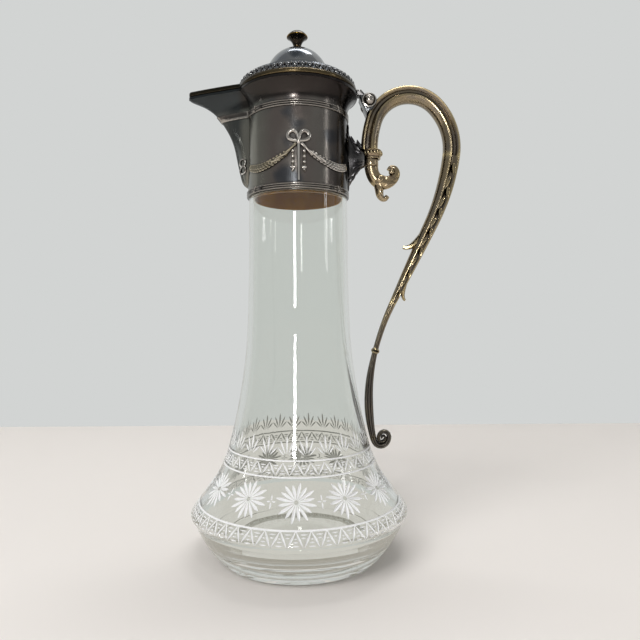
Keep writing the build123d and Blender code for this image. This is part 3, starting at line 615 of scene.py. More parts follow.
@dataclass(frozen=True)
class PlatedMetal:
    """Electroplated metal with a sulphide film: a dark mirror, black in its recesses, and
    rubbed back to bright metal on its raised edges."""

    name: str
    rubbed: str
    film: str
    bare: str
    recess: str
    stain: str = ""
    stained_above: float = 0.62
    cloud_mm: float = 16.0
    wear: float = 0.55
    edge_mm: float = 0.7
    grades: tuple[Grade, ...] = ()
    crests: bool = False
    crest_span: tuple[float, float] = (0.52, 0.60)
    shine: tuple[float, float] = (0.16, 0.27)
    recess_mm: float = 2.2
    recess_span: tuple[float, float] = (0.42, 0.9)
    metallic: float = 1.0
    stretch: float = 1.0
    stain_mm: float = 19.0
    haze_mm: float = 7.0
    grain_mm: float = 1.6

    def clouds(self, tree: bpy.types.NodeTree, place: bpy.types.NodeSocket) -> bpy.types.Node:
        """Mix the film and the barer metal in soft clouds.

        Args:
            tree: The material's nodes.
            place: The place on the object.

        Returns:
            The node whose third output is the colour.
        """
        spot = add_node(
            tree,
            "ShaderNodeMapping",
            {"Vector": place, "Scale": (1.0, 1.0, self.stretch)},
        )
        cloud = add_node(
            tree,
            "ShaderNodeTexNoise",
            {
                "Vector": spot.outputs["Vector"],
                "Scale": 1 / (self.cloud_mm * MM),
                "Detail": 2.0,
                "Roughness": 0.5,
            },
        )
        spread = add_node(
            tree,
            "ShaderNodeMapRange",
            {"Value": cloud.outputs["Fac"], "From Min": 0.40, "From Max": 0.66},
            interpolation_type="SMOOTHSTEP",
        )
        return add_node(
            tree,
            "ShaderNodeMix",
            {0: spread.outputs[0], 6: to_linear(self.film), 7: to_linear(self.bare)},
            data_type="RGBA",
        )

    def blots(self, tree: bpy.types.NodeTree, place: bpy.types.NodeSocket) -> bpy.types.Node:
        """Give how far the stain covers each place.

        Args:
            tree: The material's nodes.
            place: The place on the object.

        Returns:
            The node whose first output is the cover.
        """
        shifted = add_node(
            tree, "ShaderNodeMapping", {"Vector": place, "Location": (0.31, 0.17, 0.12)}
        )
        blot = add_node(
            tree,
            "ShaderNodeTexNoise",
            {
                "Vector": shifted.outputs["Vector"],
                "Scale": 1 / (self.stain_mm * MM),
                "Detail": 1.5,
            },
        )
        return add_node(
            tree,
            "ShaderNodeMapRange",
            {
                "Value": blot.outputs["Fac"],
                "From Min": self.stained_above - 0.06,
                "From Max": self.stained_above + 0.06,
                "To Max": 0.8,
            },
            interpolation_type="SMOOTHSTEP",
        )

    def rub(self, tree: bpy.types.NodeTree) -> bpy.types.Node:
        """Give how far raised edges are rubbed back to bright metal.

        Args:
            tree: The material's nodes.

        Returns:
            The node whose first output is the cover.
        """
        if self.crests:
            ridge = add_node(tree, "ShaderNodeNewGeometry").outputs["Pointiness"]
            span = self.crest_span
        else:
            ridge = add_node(
                tree,
                "ShaderNodeAmbientOcclusion",
                {"Distance": self.edge_mm * MM},
                samples=12,
                inside=True,
            ).outputs["AO"]
            span = (0.85, 0.35)
        return add_node(
            tree,
            "ShaderNodeMapRange",
            {"Value": ridge, "From Min": span[0], "From Max": span[1], "To Max": self.wear},
        )

    def hollows(self, tree: bpy.types.NodeTree) -> bpy.types.Node:
        """Give how far each place lies in a recess, where the film is darkest.

        Args:
            tree: The material's nodes.

        Returns:
            The node whose first output is 1 in a deep recess and 0 in the open.
        """
        shade = add_node(
            tree, "ShaderNodeAmbientOcclusion", {"Distance": self.recess_mm * MM}, samples=12
        )
        return add_node(
            tree,
            "ShaderNodeMapRange",
            {
                "Value": shade.outputs["AO"],
                "From Min": self.recess_span[0],
                "From Max": self.recess_span[1],
                "To Min": 1.0,
                "To Max": 0.0,
            },
        )

    def polish(self, tree: bpy.types.NodeTree, place: bpy.types.NodeSocket) -> bpy.types.Node:
        """Let the roughness drift a little in soft haze.

        Args:
            tree: The material's nodes.
            place: The place on the object.

        Returns:
            The node whose first output is the roughness.
        """
        haze = add_node(
            tree,
            "ShaderNodeTexNoise",
            {"Vector": place, "Scale": 1 / (self.haze_mm * MM), "Detail": 3.0, "Roughness": 0.55},
        )
        return add_node(
            tree,
            "ShaderNodeMapRange",
            {
                "Value": haze.outputs["Fac"],
                "From Min": 0.35,
                "From Max": 0.65,
                "To Min": self.shine[0],
                "To Max": self.shine[1],
            },
        )

    def build(self) -> bpy.types.Material:
        """Lay stain, rubbed edges, graded film and painted shade, and dark recesses over the
        clouds.

        Returns:
            The material.
        """
        material, tree = new_material(self.name)
        place = add_node(tree, "ShaderNodeTexCoord").outputs["Object"]
        colour = self.clouds(tree, place)
        layers = [(self.blots(tree, place), self.stain)] if self.stain else []
        layers.append((self.rub(tree), self.rubbed))
        layers += [(grade.reach(tree, place), grade.colour) for grade in self.grades]
        layers.append((self.hollows(tree), self.recess))
        for reach, laid in layers:
            colour = add_node(
                tree,
                "ShaderNodeMix",
                {0: reach.outputs[0], 6: colour.outputs[2], 7: to_linear(laid)},
                data_type="RGBA",
            )
        grain = add_node(
            tree,
            "ShaderNodeTexNoise",
            {"Vector": place, "Scale": 1 / (self.grain_mm * MM), "Detail": 2.0},
        )
        bump = add_node(
            tree,
            "ShaderNodeBump",
            {"Height": grain.outputs["Fac"], "Strength": 0.08, "Distance": 0.02 * MM},
        )
        metal = add_node(
            tree,
            "ShaderNodeBsdfPrincipled",
            {
                "Base Color": colour.outputs[2],
                "Metallic": self.metallic,
                "Roughness": self.polish(tree, place).outputs[0],
                "Normal": bump.outputs["Normal"],
            },
        )
        add_node(tree, "ShaderNodeOutputMaterial", {"Surface": metal.outputs[0]})
        return material


@dataclass(frozen=True)
class Cement:
    """Plaster of Paris that beds the collar on the neck: matt, chalky and faintly speckled."""

    name: str = "bedding_cement"
    pale: str = "D8D0BF"
    dark: str = "B5AB97"
    speck_mm: float = 0.8

    def build(self) -> bpy.types.Material:
        """Build the plaster with its specks.

        Returns:
            The material.
        """
        material, tree = new_material(self.name)
        place = add_node(tree, "ShaderNodeTexCoord").outputs["Object"]
        specks = add_node(
            tree,
            "ShaderNodeTexNoise",
            {"Vector": place, "Scale": 1 / (self.speck_mm * MM), "Detail": 3.0},
        )
        colour = add_node(
            tree,
            "ShaderNodeMix",
            {0: specks.outputs["Fac"], 6: to_linear(self.pale), 7: to_linear(self.dark)},
            data_type="RGBA",
        )
        bump = add_node(
            tree, "ShaderNodeBump", {"Height": specks.outputs["Fac"], "Distance": 0.05 * MM}
        )
        chalk = add_node(
            tree,
            "ShaderNodeBsdfPrincipled",
            {
                "Base Color": colour.outputs[2],
                "Roughness": 0.85,
                "Normal": bump.outputs["Normal"],
            },
        )
        add_node(tree, "ShaderNodeOutputMaterial", {"Surface": chalk.outputs[0]})
        return material


@dataclass(frozen=True)
class StudioCloth:
    """Pale cotton sheet or painted wall of the studio: matt, with hardly any grain."""

    name: str
    colour: str
    shown: str
    even: bool = False
    fold_mm: float = 60.0

    def build(self) -> bpy.types.Material:
        """Build the cloth: glass shows its plain colour, and an even one never shades at all.

        Returns:
            The material.
        """
        material, tree = new_material(self.name)
        place = add_node(tree, "ShaderNodeTexCoord").outputs["Object"]
        grain = add_node(
            tree,
            "ShaderNodeTexNoise",
            {"Vector": place, "Scale": 1 / (self.fold_mm * MM), "Detail": 3.0},
        )
        bump = add_node(
            tree,
            "ShaderNodeBump",
            {"Height": grain.outputs["Fac"], "Strength": 0.15, "Distance": 4 * MM},
        )
        matt = add_node(
            tree,
            "ShaderNodeBsdfDiffuse",
            {"Color": to_linear(self.colour), "Normal": bump.outputs["Normal"]},
        )
        path = add_node(tree, "ShaderNodeLightPath")
        seen = path.outputs["Is Transmission Ray"]
        if self.even:
            for ray in ("Is Camera Ray", "Is Glossy Ray"):
                seen = add_node(
                    tree, "ShaderNodeMath", {0: path.outputs[ray], 1: seen}, operation="MAXIMUM"
                ).outputs[0]
        plain = add_node(
            tree, "ShaderNodeEmission", {"Color": to_linear(self.shown), "Strength": 1.0}
        )
        surface = add_node(
            tree, "ShaderNodeMixShader", {0: seen, 1: matt.outputs[0], 2: plain.outputs[0]}
        )
        add_node(tree, "ShaderNodeOutputMaterial", {"Surface": surface.outputs[0]})
        return material


class Finishes:
    """The jug's materials, each built once."""

    def __init__(self) -> None:
        """Build every finish."""
        self.crystal = LeadCrystal().build()
        # The wheel leaves facets that are a little rougher than the blown wall; their greyer tint
        # is painted shade that dims them.
        self.cut = LeadCrystal(
            "wheel_cut_crystal", "C6C6C0", roughness=0.05, clearness=0.97
        ).build()
        # Silver plate under old tarnish: a dark warm mirror, olive towards -X; the black towards +X
        # is painted shade.
        self.collar = PlatedMetal(
            name="tarnished_silver_plate",
            rubbed="8F867C",
            film="7B726D",
            bare="85807A",
            recess="171515",
            stain="4B5056",
            stained_above=0.6,
            wear=0.4,
            stretch=0.35,
            grades=(
                Grade("86867C", "X", -10.0, -22.0, 0.7),
                # Painted shade: the plate turns nearly black towards +X.
                Grade("262424", "X", 8.0, 27.0, 0.85),
                Grade("2A2625", "Z", 250.2, 253.0, 0.9),
                Grade("3F4446", "X", -29.5, -34.0, 0.75),
            ),
        ).build()
        # Cast relief, rubbed by polishing: bright crests over a black ground.
        relief = PlatedMetal(
            name="rubbed_silver_relief",
            rubbed="E6E1DA",
            film="716A63",
            bare="847C72",
            recess="0F0E0D",
            cloud_mm=6.0,
            wear=0.95,
            crests=True,
            crest_span=(0.51, 0.585),
            recess_mm=1.4,
            recess_span=(0.35, 0.85),
        )
        self.relief = relief.build()
        # The same casting with thinner plate: its crests are yellower.
        self.brassy_relief = replace(
            relief,
            name="brassy_relief",
            rubbed="CFC6B0",
            film="625C4F",
            bare="756A50",
            recess="0F0E0B",
            wear=0.85,
        ).build()
        # Castings behind the handle and at the hinge, on the +X side: a darker copy of the relief,
        # dark steel grey, as painted shade.
        self.shaded_relief = replace(
            relief,
            name="shaded_steely_relief",
            rubbed="A09E9C",
            film="353435",
            bare="434242",
            recess="0B0B0C",
            wear=0.85,
            crest_span=(0.51, 0.60),
            recess_mm=1.8,
            recess_span=(0.45, 0.95),
        ).build()
        # Turned reeds: fine bright lines with dark valleys.
        self.bands = PlatedMetal(
            name="reeded_band_plate",
            rubbed="BEB8B0",
            film="4E4A47",
            bare="5C5854",
            recess="121111",
            cloud_mm=12.0,
            wear=0.8,
            crests=True,
            crest_span=(0.50, 0.57),
            recess_mm=0.9,
            recess_span=(0.5, 0.95),
        ).build()
        # Small cold-grey castings of the lid and the hinge.
        self.trim = PlatedMetal(
            name="greyed_cast_trim",
            rubbed="A8A6A2",
            film="54565A",
            bare="616366",
            recess="0E0E10",
            cloud_mm=9.0,
            wear=0.6,
            crests=True,
            crest_span=(0.53, 0.66),
            recess_mm=1.2,
            recess_span=(0.4, 0.92),
        ).build()
        # The lid's dome and rings: smooth plate, a bluish mirror.
        self.lid = PlatedMetal(
            name="blued_silver_lid",
            rubbed="B4B0A8",
            film="868A90",
            bare="949596",
            recess="131316",
            stain="3C434C",
            wear=0.5,
            shine=(0.12, 0.2),
        ).build()
        # The lid's edge: gold brown in front, black towards the beak and the hinge.
        self.rim = PlatedMetal(
            name="worn_gold_edge",
            rubbed="B59A66",
            film="454035",
            bare="5A4F3A",
            recess="0F0E0C",
            wear=0.6,
            crests=True,
            grades=(
                Grade("24231F", "X", -8.0, -30.0, 0.85),
                Grade("2A2826", "X", 8.0, 30.0, 0.75),
            ),
        ).build()
        # The finial: nearly black, with a gold line where the rim is rubbed.
        self.finial = PlatedMetal(
            name="black_finial_plate",
            rubbed="B9923E",
            film="26221E",
            bare="302A23",
            recess="0C0B0A",
            wear=1.0,
            crests=True,
            crest_span=(0.51, 0.57),
            shine=(0.08, 0.13),
        ).build()
        # The handle: brass shows through where the hand holds it, dark steel down the tail.
        self.handle = PlatedMetal(
            name="brassy_worn_plate",
            rubbed="E0CB9A",
            film="7D7469",
            bare="8B7D66",
            recess="1C1814",
            cloud_mm=11.0,
            wear=0.9,
            crests=True,
            crest_span=(0.515, 0.58),
            recess_mm=2.6,
            recess_span=(0.3, 0.84),
            shine=(0.15, 0.24),
            grades=(Grade("3F4043", "Z", 165.0, 90.0, 0.8),),
        ).build()
        # The knop and the scroll: pale gold, with brown in the folds of the leaves.
        self.root = PlatedMetal(
            name="pale_gold_castings",
            rubbed="F0DFB2",
            film="9C8B74",
            bare="AC9976",
            recess="1B150F",
            cloud_mm=8.0,
            wear=0.75,
            crests=True,
            crest_span=(0.53, 0.64),
            recess_mm=1.6,
            recess_span=(0.45, 0.95),
        ).build()
        # The gilded lining: amber, lit through the glass, so less a mirror than the plate.
        self.gilt = PlatedMetal(
            name="gilt_lining",
            rubbed="DCB45C",
            film="D0940C",
            bare="B47C0E",
            recess="946514",
            wear=0.2,
            metallic=0.35,
            recess_mm=0.6,
            stretch=0.3,
        ).build()
        self.cement = Cement().build()


# --------------------------------------------------------------------------- the studio


@dataclass(frozen=True)
class Lamp:
    """A soft lamp: its place and size in metres, its face's brightness, where 1 is white,
    whether glass and metal mirror it, and whether it is seen through glass."""

    name: str
    at: tuple[float, float, float]
    width: float
    height: float
    glow: float
    mirrored: bool = True
    seen_through: bool = True


@dataclass
class Studio:
    """Camera, pale floor, wall and soft lamps."""

    eye: tuple[float, float, float] = (12.24, -330.0, 133.0)
    focal_px: float = 570.0
    frame_px: float = 640.0
    sensor: float = 36.0
    roll: float = -0.34
    wall_y: float = 392.0
    reach: float = 1600.0
    floor_drop: float = 0.05
    aim: tuple[float, float, float] = (0, 0, 0.15)
    world_glow: tuple[float, float] = (0.55, 0.95)
    lamps: tuple[Lamp, ...] = (
        Lamp("soft_front", (-0.9, -1.3, 1.5), 1.1, 1.1, 5.6, False),
        Lamp("soft_top", (0.15, 0.55, 1.4), 0.8, 0.8, 7.8, True, False),
        Lamp("right_door", (0.95, -0.36, 0.45), 0.05, 0.35, 5.0),
        Lamp("cut_glint", (0.02, -0.75, 1.15), 0.08, 0.08, 60.0),
        Lamp("window_strip", (-0.115, -1.08, 0.315), 0.085, 0.175, 42.0),
        Lamp("left_strip", (-1.0, -0.09, 0.35), 0.03, 0.05, 12.0),
        Lamp("right_strip", (1.0, -0.10, 0.35), 0.03, 0.05, 12.0),
    )

    def set_camera(self) -> None:
        """Set a level camera at the height of the bottle's bell, rolled a third of a degree."""
        lens = bpy.data.cameras.new("camera")
        lens.sensor_width = self.sensor
        lens.lens = self.focal_px / self.frame_px * self.sensor
        lens.clip_start = 0.01
        camera = bpy.data.objects.new("camera", lens)
        level = Matrix.Rotation(math.pi / 2, 4, "X")
        level = level @ Matrix.Rotation(math.radians(self.roll), 4, "Z")
        camera.matrix_world = Matrix.Translation(Vector(self.eye) * MM) @ level
        bpy.context.scene.collection.objects.link(camera)
        bpy.context.scene.camera = camera

    def set_stage(self) -> None:
        """Lay the floor cloth and stand the wall behind it."""
        for name, corners, material in (
            (
                "floor",
                ((-1, -1, 0), (1, -1, 0), (1, 1, 0), (-1, 1, 0)),
                StudioCloth("floor_cloth", "E9E3DE", "DDD8D3").build(),
            ),
            (
                "wall",
                ((-1, 0, 0), (1, 0, 0), (1, 0, 1.4), (-1, 0, 1.4)),
                StudioCloth("painted_wall", "D3D6D6", "D2D4D3", True).build(),
            ),
        ):
            bm = bmesh.new()
            lift = Vector((0, self.wall_y, 0) if name == "wall" else (0, 0, -self.floor_drop))
            bm.faces.new([bm.verts.new((Vector(c) * self.reach + lift) * MM) for c in corners])
            mesh = bpy.data.meshes.new(name)
            bm.to_mesh(mesh)
            bm.free()
            mesh.materials.append(material)
            panel = bpy.data.objects.new(name, mesh)
            bpy.context.scene.collection.objects.link(panel)

    def add_lamp(self, lamp: Lamp) -> None:
        """Hang one soft lamp that faces the jug.

        Args:
            lamp: Its place, size and brightness.
        """
        light = bpy.data.lights.new(lamp.name, "AREA")
        light.shape = "RECTANGLE"
        light.size = lamp.width
        light.size_y = lamp.height
        light.energy = lamp.glow * math.pi * lamp.width * lamp.height
        at = Vector(lamp.at)
        shade = bpy.data.objects.new(lamp.name, light)
        turn = (Vector(self.aim) - at).to_track_quat("-Z", "Y").to_matrix().to_4x4()
        shade.matrix_world = Matrix.Translation(at) @ turn
        shade.visible_glossy = lamp.mirrored
        shade.visible_transmission = lamp.mirrored and lamp.seen_through
        bpy.context.scene.collection.objects.link(shade)

    def light(self) -> None:
        """Set an even dim world, which looks brighter through glass, and the lamps."""
        world = bpy.data.worlds.new("studio_world")
        bpy.context.scene.world = world
        world.use_nodes = True
        world.node_tree.nodes.clear()
        tree = world.node_tree
        path = add_node(tree, "ShaderNodeLightPath")
        strength = add_node(
            tree,
            "ShaderNodeMapRange",
            {
                "Value": path.outputs["Is Transmission Ray"],
                "To Min": self.world_glow[0],
                "To Max": self.world_glow[1],
            },
        )
        glow = add_node(
            tree,
            "ShaderNodeBackground",
            {"Color": to_linear("D0D2D2"), "Strength": strength.outputs[0]},
        )
        add_node(tree, "ShaderNodeOutputWorld", {"Surface": glow.outputs[0]})
        for lamp in self.lamps:
            self.add_lamp(lamp)

    def build(self) -> None:
        """Set up everything around the jug."""
        scene = bpy.context.scene
        scene.view_settings.view_transform = "Standard"
        self.set_camera()
        self.set_stage()
        self.light()
        LOG.info("studio: camera, floor, wall and lamps")


# --------------------------------------------------------------------------- the bottle


class Lean(Enum):
    """Which way the slanting cuts of a zigzag lean."""

    RISING = 1
    FALLING = -1


@dataclass(frozen=True)
class ZigzagBand:
    """A band of slanting cuts between two rings, with level bars in its triangles."""

    count: int
    low: float
    high: float
    low_bars: tuple[tuple[float, float], ...]
    high_bars: tuple[tuple[float, float], ...]


@dataclass
class CutBottle:
    """The crystal bottle: a turned wall with wheel cuts taken out of its outside."""

    steps: int = 192
    crease: float = 14.0
    foot_r: float = 44.0
    belly_r: float = 61.4
    neck_r: float = 27.0
    neck_top: float = 236.4
    seat_z: float = 201.8
    bore_r: float = 25.8
    floor_z: float = 8.0
    belly_wall: float = 4.0
    neck_wall: float = 2.4
    outside: tuple[tuple[float, float], ...] = (
        (22.2, 59.6), (24.8, 61.4), (26.2, 61.2), (28.1, 60.1), (32.3, 56.9), (37.3, 53.1),
        (45.5, 47.2), (55.4, 42.5), (61.4, 40.5), (69.0, 38.45), (80.2, 35.9), (93.4, 33.4),
        (109.9, 31.0), (126.4, 29.6), (149.5, 28.8), (172.6, 28.4), (201.8, 28.2),
    )
    outside_runs: tuple[tuple[float, float, int], ...] = (
        (24.8, 0.55, 14), (32.0, 1.2, 26), (63.4, 6.6, 21),
    )
    inside_runs: tuple[tuple[float, float, int], ...] = ((25.0, 2.5, 16), (64.0, 9.0, 16))
    bowl: tuple[tuple[float, float], ...] = (
        (56.4, 21.6), (54.6, 18.4), (51.0, 14.6), (46.0, 11.4), (38.0, 9.2), (22.0, 8.2),
    )
    thins_from: float = 40.0
    thins_over: float = 120.0
    edge_top: float = 26.0
    edge_slope: float = -0.6
    edge: tuple[float, float] = (59.6, 22.2)
    ring_z: tuple[float, ...] = (32.0, 53.6, 61.4)
    ring_depth: float = 0.35
    ring_half: float = 0.4
    skirt_start: tuple[float, float] = (46.0, 1.0)
    skirt_bulge: float = 1.3
    skirt_out: tuple[float, float] = (0.84, 0.54)
    skirt_parts: int = 22
    foot_steps: tuple[float, ...] = (5.0, 9.4, 13.0)
    foot_depth: float = 0.7
    foot_step_half: float = 0.9
    star_count: int = 12
    star_rays: int = 16
    star_z: float = 43.0
    star_r: float = 10.6
    star_short: float = 0.88
    star_half: float = 1.0
    star_cut: tuple[float, float, float] = (0.45, 0.9, 0.66)
    sparkle: tuple[tuple[float, float, float], ...] = (
        (0, 2.4, 0.5), (90, 3.8, 0.5), (180, 2.4, 0.5), (270, 3.8, 0.5),
    )
    sparkle_cut: tuple[float, float, float] = (0.3, 0.6, 0.35)
    fan_z: float = 62.6
    fan: tuple[tuple[float, float, float], ...] = (
        (48, 7.4, 0.55), (69, 9.8, 0.6), (90, 11.4, 0.65), (111, 9.8, 0.6), (132, 7.4, 0.55),
    )
    fan_cut: tuple[float, float, float] = (1.6, 0.6, 0.6)
    bar_cut: tuple[float, float, float] = (0.4, 0.5, 0.5)
    slant_cut: tuple[float, float, float] = (0.6, 0.8, 0.5)
    cut_rings: int = 6
    cut_taper: tuple[float, float] = (0.85, 0.6)
    bands: tuple[ZigzagBand, ...] = (
        ZigzagBand(48, 25.0, 31.3, ((1.2, 2.0), (2.7, 1.3), (4.0, 0.7)), ((5.6, 1.9), (4.3, 1.1))),
        ZigzagBand(36, 54.3, 60.8, ((1.2, 1.8), (2.6, 1.2)), ((5.2, 1.7), (3.9, 1.0))),
    )
    cut_zone: tuple[float, float] = (24.9, 80.0)
    cut_depths: tuple[float, float] = (0.06, 2.0)

    def radius(self, height: float) -> float:
        """Give the outside radius at a height above the belly's edge."""
        return min(self.belly_r, along(self.outside, height))

    def slope(self, height: float) -> float:
        """Give how much the outside radius grows in a millimetre of height."""
        return self.radius(height + 0.5) - self.radius(height - 0.5)

    def skirt(self) -> list[tuple[float, float]]:
        """Give the outline from the foot up to the belly's edge, with its turned rings.

        Returns:
            The (radius, height) points in order.
        """
        start, end = Vector(self.skirt_start), Vector(self.edge)
        points = [(0.0, 0.0), (self.foot_r, 0.0), self.skirt_start]
        out, down = self.skirt_out
        for i in range(1, self.skirt_parts + 1):
            t = i / self.skirt_parts
            base = start.lerp(end, t)
            swell = 4 * self.skirt_bulge * t * (1 - t)
            near = min(abs(base.y - z) for z in self.foot_steps)
            dip = self.foot_depth * max(0.0, 1 - near / self.foot_step_half)
            points.append((base.x + swell * out - dip, base.y - swell * down))
        return points

    def outline(self) -> list[tuple[float, float]]:
        """Give the whole outline, up the outside and down the inside.

        Returns:
            The (radius, height) points in order.
        """
        points = self.skirt()
        heights = spaced(self.outside_runs)
        for z in self.ring_z:
            heights = [h for h in heights if abs(h - z) > self.ring_half * 1.3]
            heights += [z - self.ring_half, z, z + self.ring_half]
        for h in sorted(heights):
            dip = self.ring_depth if h in self.ring_z else 0.0
            points.append((self.radius(h) - dip, h))
        points += [(self.outside[-1][1], self.seat_z), (self.neck_r, self.seat_z)]
        points += [(self.neck_r, self.neck_top), (self.bore_r, self.neck_top)]
        for h in sorted(spaced(self.inside_runs), reverse=True):
            share = max(0.0, min(1.0, (h - self.thins_from) / self.thins_over))
            wall = self.belly_wall + (self.neck_wall - self.belly_wall) * share
            slope = self.edge_slope
            if h > self.edge_top:
                slope = (self.radius(h + 1) - self.radius(h - 1)) / 2
            points.append((max(self.bore_r, self.radius(h) - wall * math.hypot(1, slope)), h))
        points += [*self.bowl, (0.0, self.floor_z)]
        return points

    def on_wall(self, turn: float, height: float) -> Vector:
        """Give the point of the outside wall at a turn and a height."""
        return polar(self.radius(height), turn, height)

    def offset(self, turn: float, height: float, side: float, rise: float) -> Vector:
        """Walk from a point of the wall round it and up its slope.

        Args:
            turn: The start's turn in degrees.
            height: The start's height.
            side: How far to walk round the wall, in millimetres.
            rise: How far to walk up the wall's slope, in millimetres.

        Returns:
            The point reached.
        """
        top = height + rise / math.hypot(1, self.slope(height))
        return self.on_wall(turn + math.degrees(side / self.radius(top)), top)

    def cut(
        self,
        bm: bmesh.types.BMesh,
        anchor: tuple[float, float],
        start: tuple[float, float],
        end: tuple[float, float],
        half: float,
        deep: float,
        widest: float = 0.6,
    ) -> None:
        """Add the body of one wheel cut, a spindle that follows the wall.

        Args:
            bm: The mesh of cutters.
            anchor: The turn and the height that the cut's tips are walked from.
            start: How far round and up the wall the first tip is.
            end: How far round and up the wall the second tip is.
            half: Half the cut's width at its widest.
            deep: How far the cut's keel is under the wall at its widest.
            widest: The share of the length at which the cut is widest.
        """
        made = bmesh.ops.create_uvsphere(bm, u_segments=4, v_segments=self.cut_rings, radius=1.0)
        points = {
            share: self.offset(*anchor, *Vector(start).lerp(Vector(end), share))
            for share in {round((vert.co.z + 1) / 2, 5) for vert in made["verts"]}
        }
        run = points[1.0] - points[0.0]
        for vert in made["verts"]:
            share = round((vert.co.z + 1) / 2, 5)
            point = points[share]
            round_wall = math.hypot(point.x, point.y)
            out = Vector((point.x / round_wall, point.y / round_wall, -self.slope(point.z)))
            out.normalize()
            side = out.cross(run).normalized()
            swell = (
                (share / widest) ** self.cut_taper[0]
                if share < widest
                else (max(0.0, 1 - share) / (1 - widest)) ** self.cut_taper[1]
            )
            flat = Vector((vert.co.x, vert.co.y))
            if flat.length > 1e-6:
                flat = flat.normalized() * swell
            vert.co = point + out * (flat.x * deep) + side * (flat.y * half)

    def spokes(
        self,
        bm: bmesh.types.BMesh,
        anchor: tuple[float, float],
        rays: Sequence[tuple[float, float, float]],
        near: float,
        deep: float,
        widest: float,
    ) -> None:
        """Add cuts that spread from one point of the wall.

        Args:
            bm: The mesh of cutters.
            anchor: The turn and the height of the point.
            rays: Each cut's direction in degrees, its reach and half its width.
            near: How far from the point the cuts start.
            deep: The cuts' depth.
            widest: The share of the length at which a cut is widest.
        """
        for turn, reach, half in rays:
            side, rise = math.cos(math.radians(turn)), math.sin(math.radians(turn))
            start, end = (near * side, near * rise), (reach * side, reach * rise)
            self.cut(bm, anchor, start, end, half, deep, widest)

    def star_cuts(self, bm: bmesh.types.BMesh) -> None:
        """Add the stars, the sparkles between them and the fans over the top ring.

        Args:
            bm: The mesh of cutters.
        """
        step = 360 / self.star_count
        turn_step = 360 / self.star_rays
        star = [
            (
                (ray + 0.5) * turn_step,
                self.star_r * (1.0 if ray % 2 else self.star_short),
                self.star_half,
            )
            for ray in range(self.star_rays)
        ]
        for number in range(self.star_count):
            turn = FRONT + number * step
            self.spokes(bm, (turn, self.star_z), star, *self.star_cut)
            self.spokes(bm, (turn + step / 2, self.star_z), self.sparkle, *self.sparkle_cut)
            for shift in (0.25, 0.75):
                self.spokes(bm, (turn + shift * step, self.fan_z), self.fan, *self.fan_cut)

    def bar_cuts(self, bm: bmesh.types.BMesh) -> None:
        """Add the short level bars between the slanting cuts of both bands.

        Args:
            bm: The mesh of cutters.
        """
        for band in self.bands:
            for unit in range(band.count):
                turn = FRONT + unit * 360 / band.count
                for shift, rises in ((0.0, band.low_bars), (0.5, band.high_bars)):
                    for rise, half in rises:
                        anchor = (turn + shift * 360 / band.count, band.low)
                        self.cut(bm, anchor, (-half, rise), (half, rise), *self.bar_cut)

    def slant_cuts(self, bm: bmesh.types.BMesh, lean: Lean) -> None:
        """Add the slanting cuts of both bands that lean one way.

        Args:
            bm: The mesh of cutters.
            lean: Which way they lean.
        """
        for band in self.bands:
            step = 360 / band.count
            across = math.radians(step / 2) * self.radius((band.low + band.high) / 2)
            slope = self.radius(band.high) - self.radius(band.low)
            rise = math.hypot(band.high - band.low, slope)
            for unit in range(band.count):
                foot = FRONT + (unit - 0.5 * lean.value) * step
                end = (lean.value * across, rise)
                self.cut(bm, (foot, band.low), (0, 0), end, *self.slant_cut)

    @staticmethod
    def carve(
        body: bpy.types.Object, fill: Sequence[Callable[[bmesh.types.BMesh], None]]
    ) -> None:
        """Take sets of cutters out of the wall, one set after another.

        Args:
            body: The turned bottle.
            fill: One function for each set, which fills a bmesh with cutters.
        """
        cutters = []
        for number, add in enumerate(fill):
            bm = bmesh.new()
            add(bm)
            bmesh.ops.scale(bm, vec=(MM, MM, MM), verts=bm.verts)
            bmesh.ops.recalc_face_normals(bm, faces=bm.faces)
            mesh = bpy.data.meshes.new(f"cutter_{number}")
            bm.to_mesh(mesh)
            bm.free()
            cutter = bpy.data.objects.new(mesh.name, mesh)
            bpy.context.scene.collection.objects.link(cutter)
            cutters.append(cutter)
            modifier = body.modifiers.new(mesh.name, "BOOLEAN")
            modifier.operation = "DIFFERENCE"
            modifier.solver = "MANIFOLD"
            modifier.object = cutter
        bpy.context.view_layer.update()
        graph = bpy.context.evaluated_depsgraph_get()
        carved = bpy.data.meshes.new_from_object(body.evaluated_get(graph), depsgraph=graph)
        body.modifiers.clear()
        old = body.data
        body.data = carved
        bpy.data.meshes.remove(old)
        for cutter in cutters:
            bpy.data.objects.remove(cutter)

    def build(self, finishes: Finishes) -> None:
        """Turn the bottle, cut it and dress it.

        Args:
            finishes: The jug's finishes.
        """
        bm = bmesh.new()
        spin_profile(bm, self.outline(), self.steps)
        bottle = finish_piece(
            bm, "cut_bottle", finishes.crystal, "jug", ("glass_body",), self.crease
        )
        self.carve(
            bottle,
            [
                self.star_cuts,
                self.bar_cuts,
                lambda bm: self.slant_cuts(bm, Lean.RISING),
                lambda bm: self.slant_cuts(bm, Lean.FALLING),
            ],
        )
        bottle.data.set_sharp_from_angle(angle=math.radians(self.crease))
        bottle.data.materials.append(finishes.cut)
        for face in bottle.data.polygons:
            x, y, z = face.center / MM
            if self.cut_zone[0] < z < self.cut_zone[1]:
                sunk = self.radius(z) - math.hypot(x, y)
                face.material_index = int(self.cut_depths[0] < sunk < self.cut_depths[1])
        LOG.info("cut_bottle: carved to %d faces", len(bottle.data.polygons))


# --------------------------------------------------------------------------- metalwork


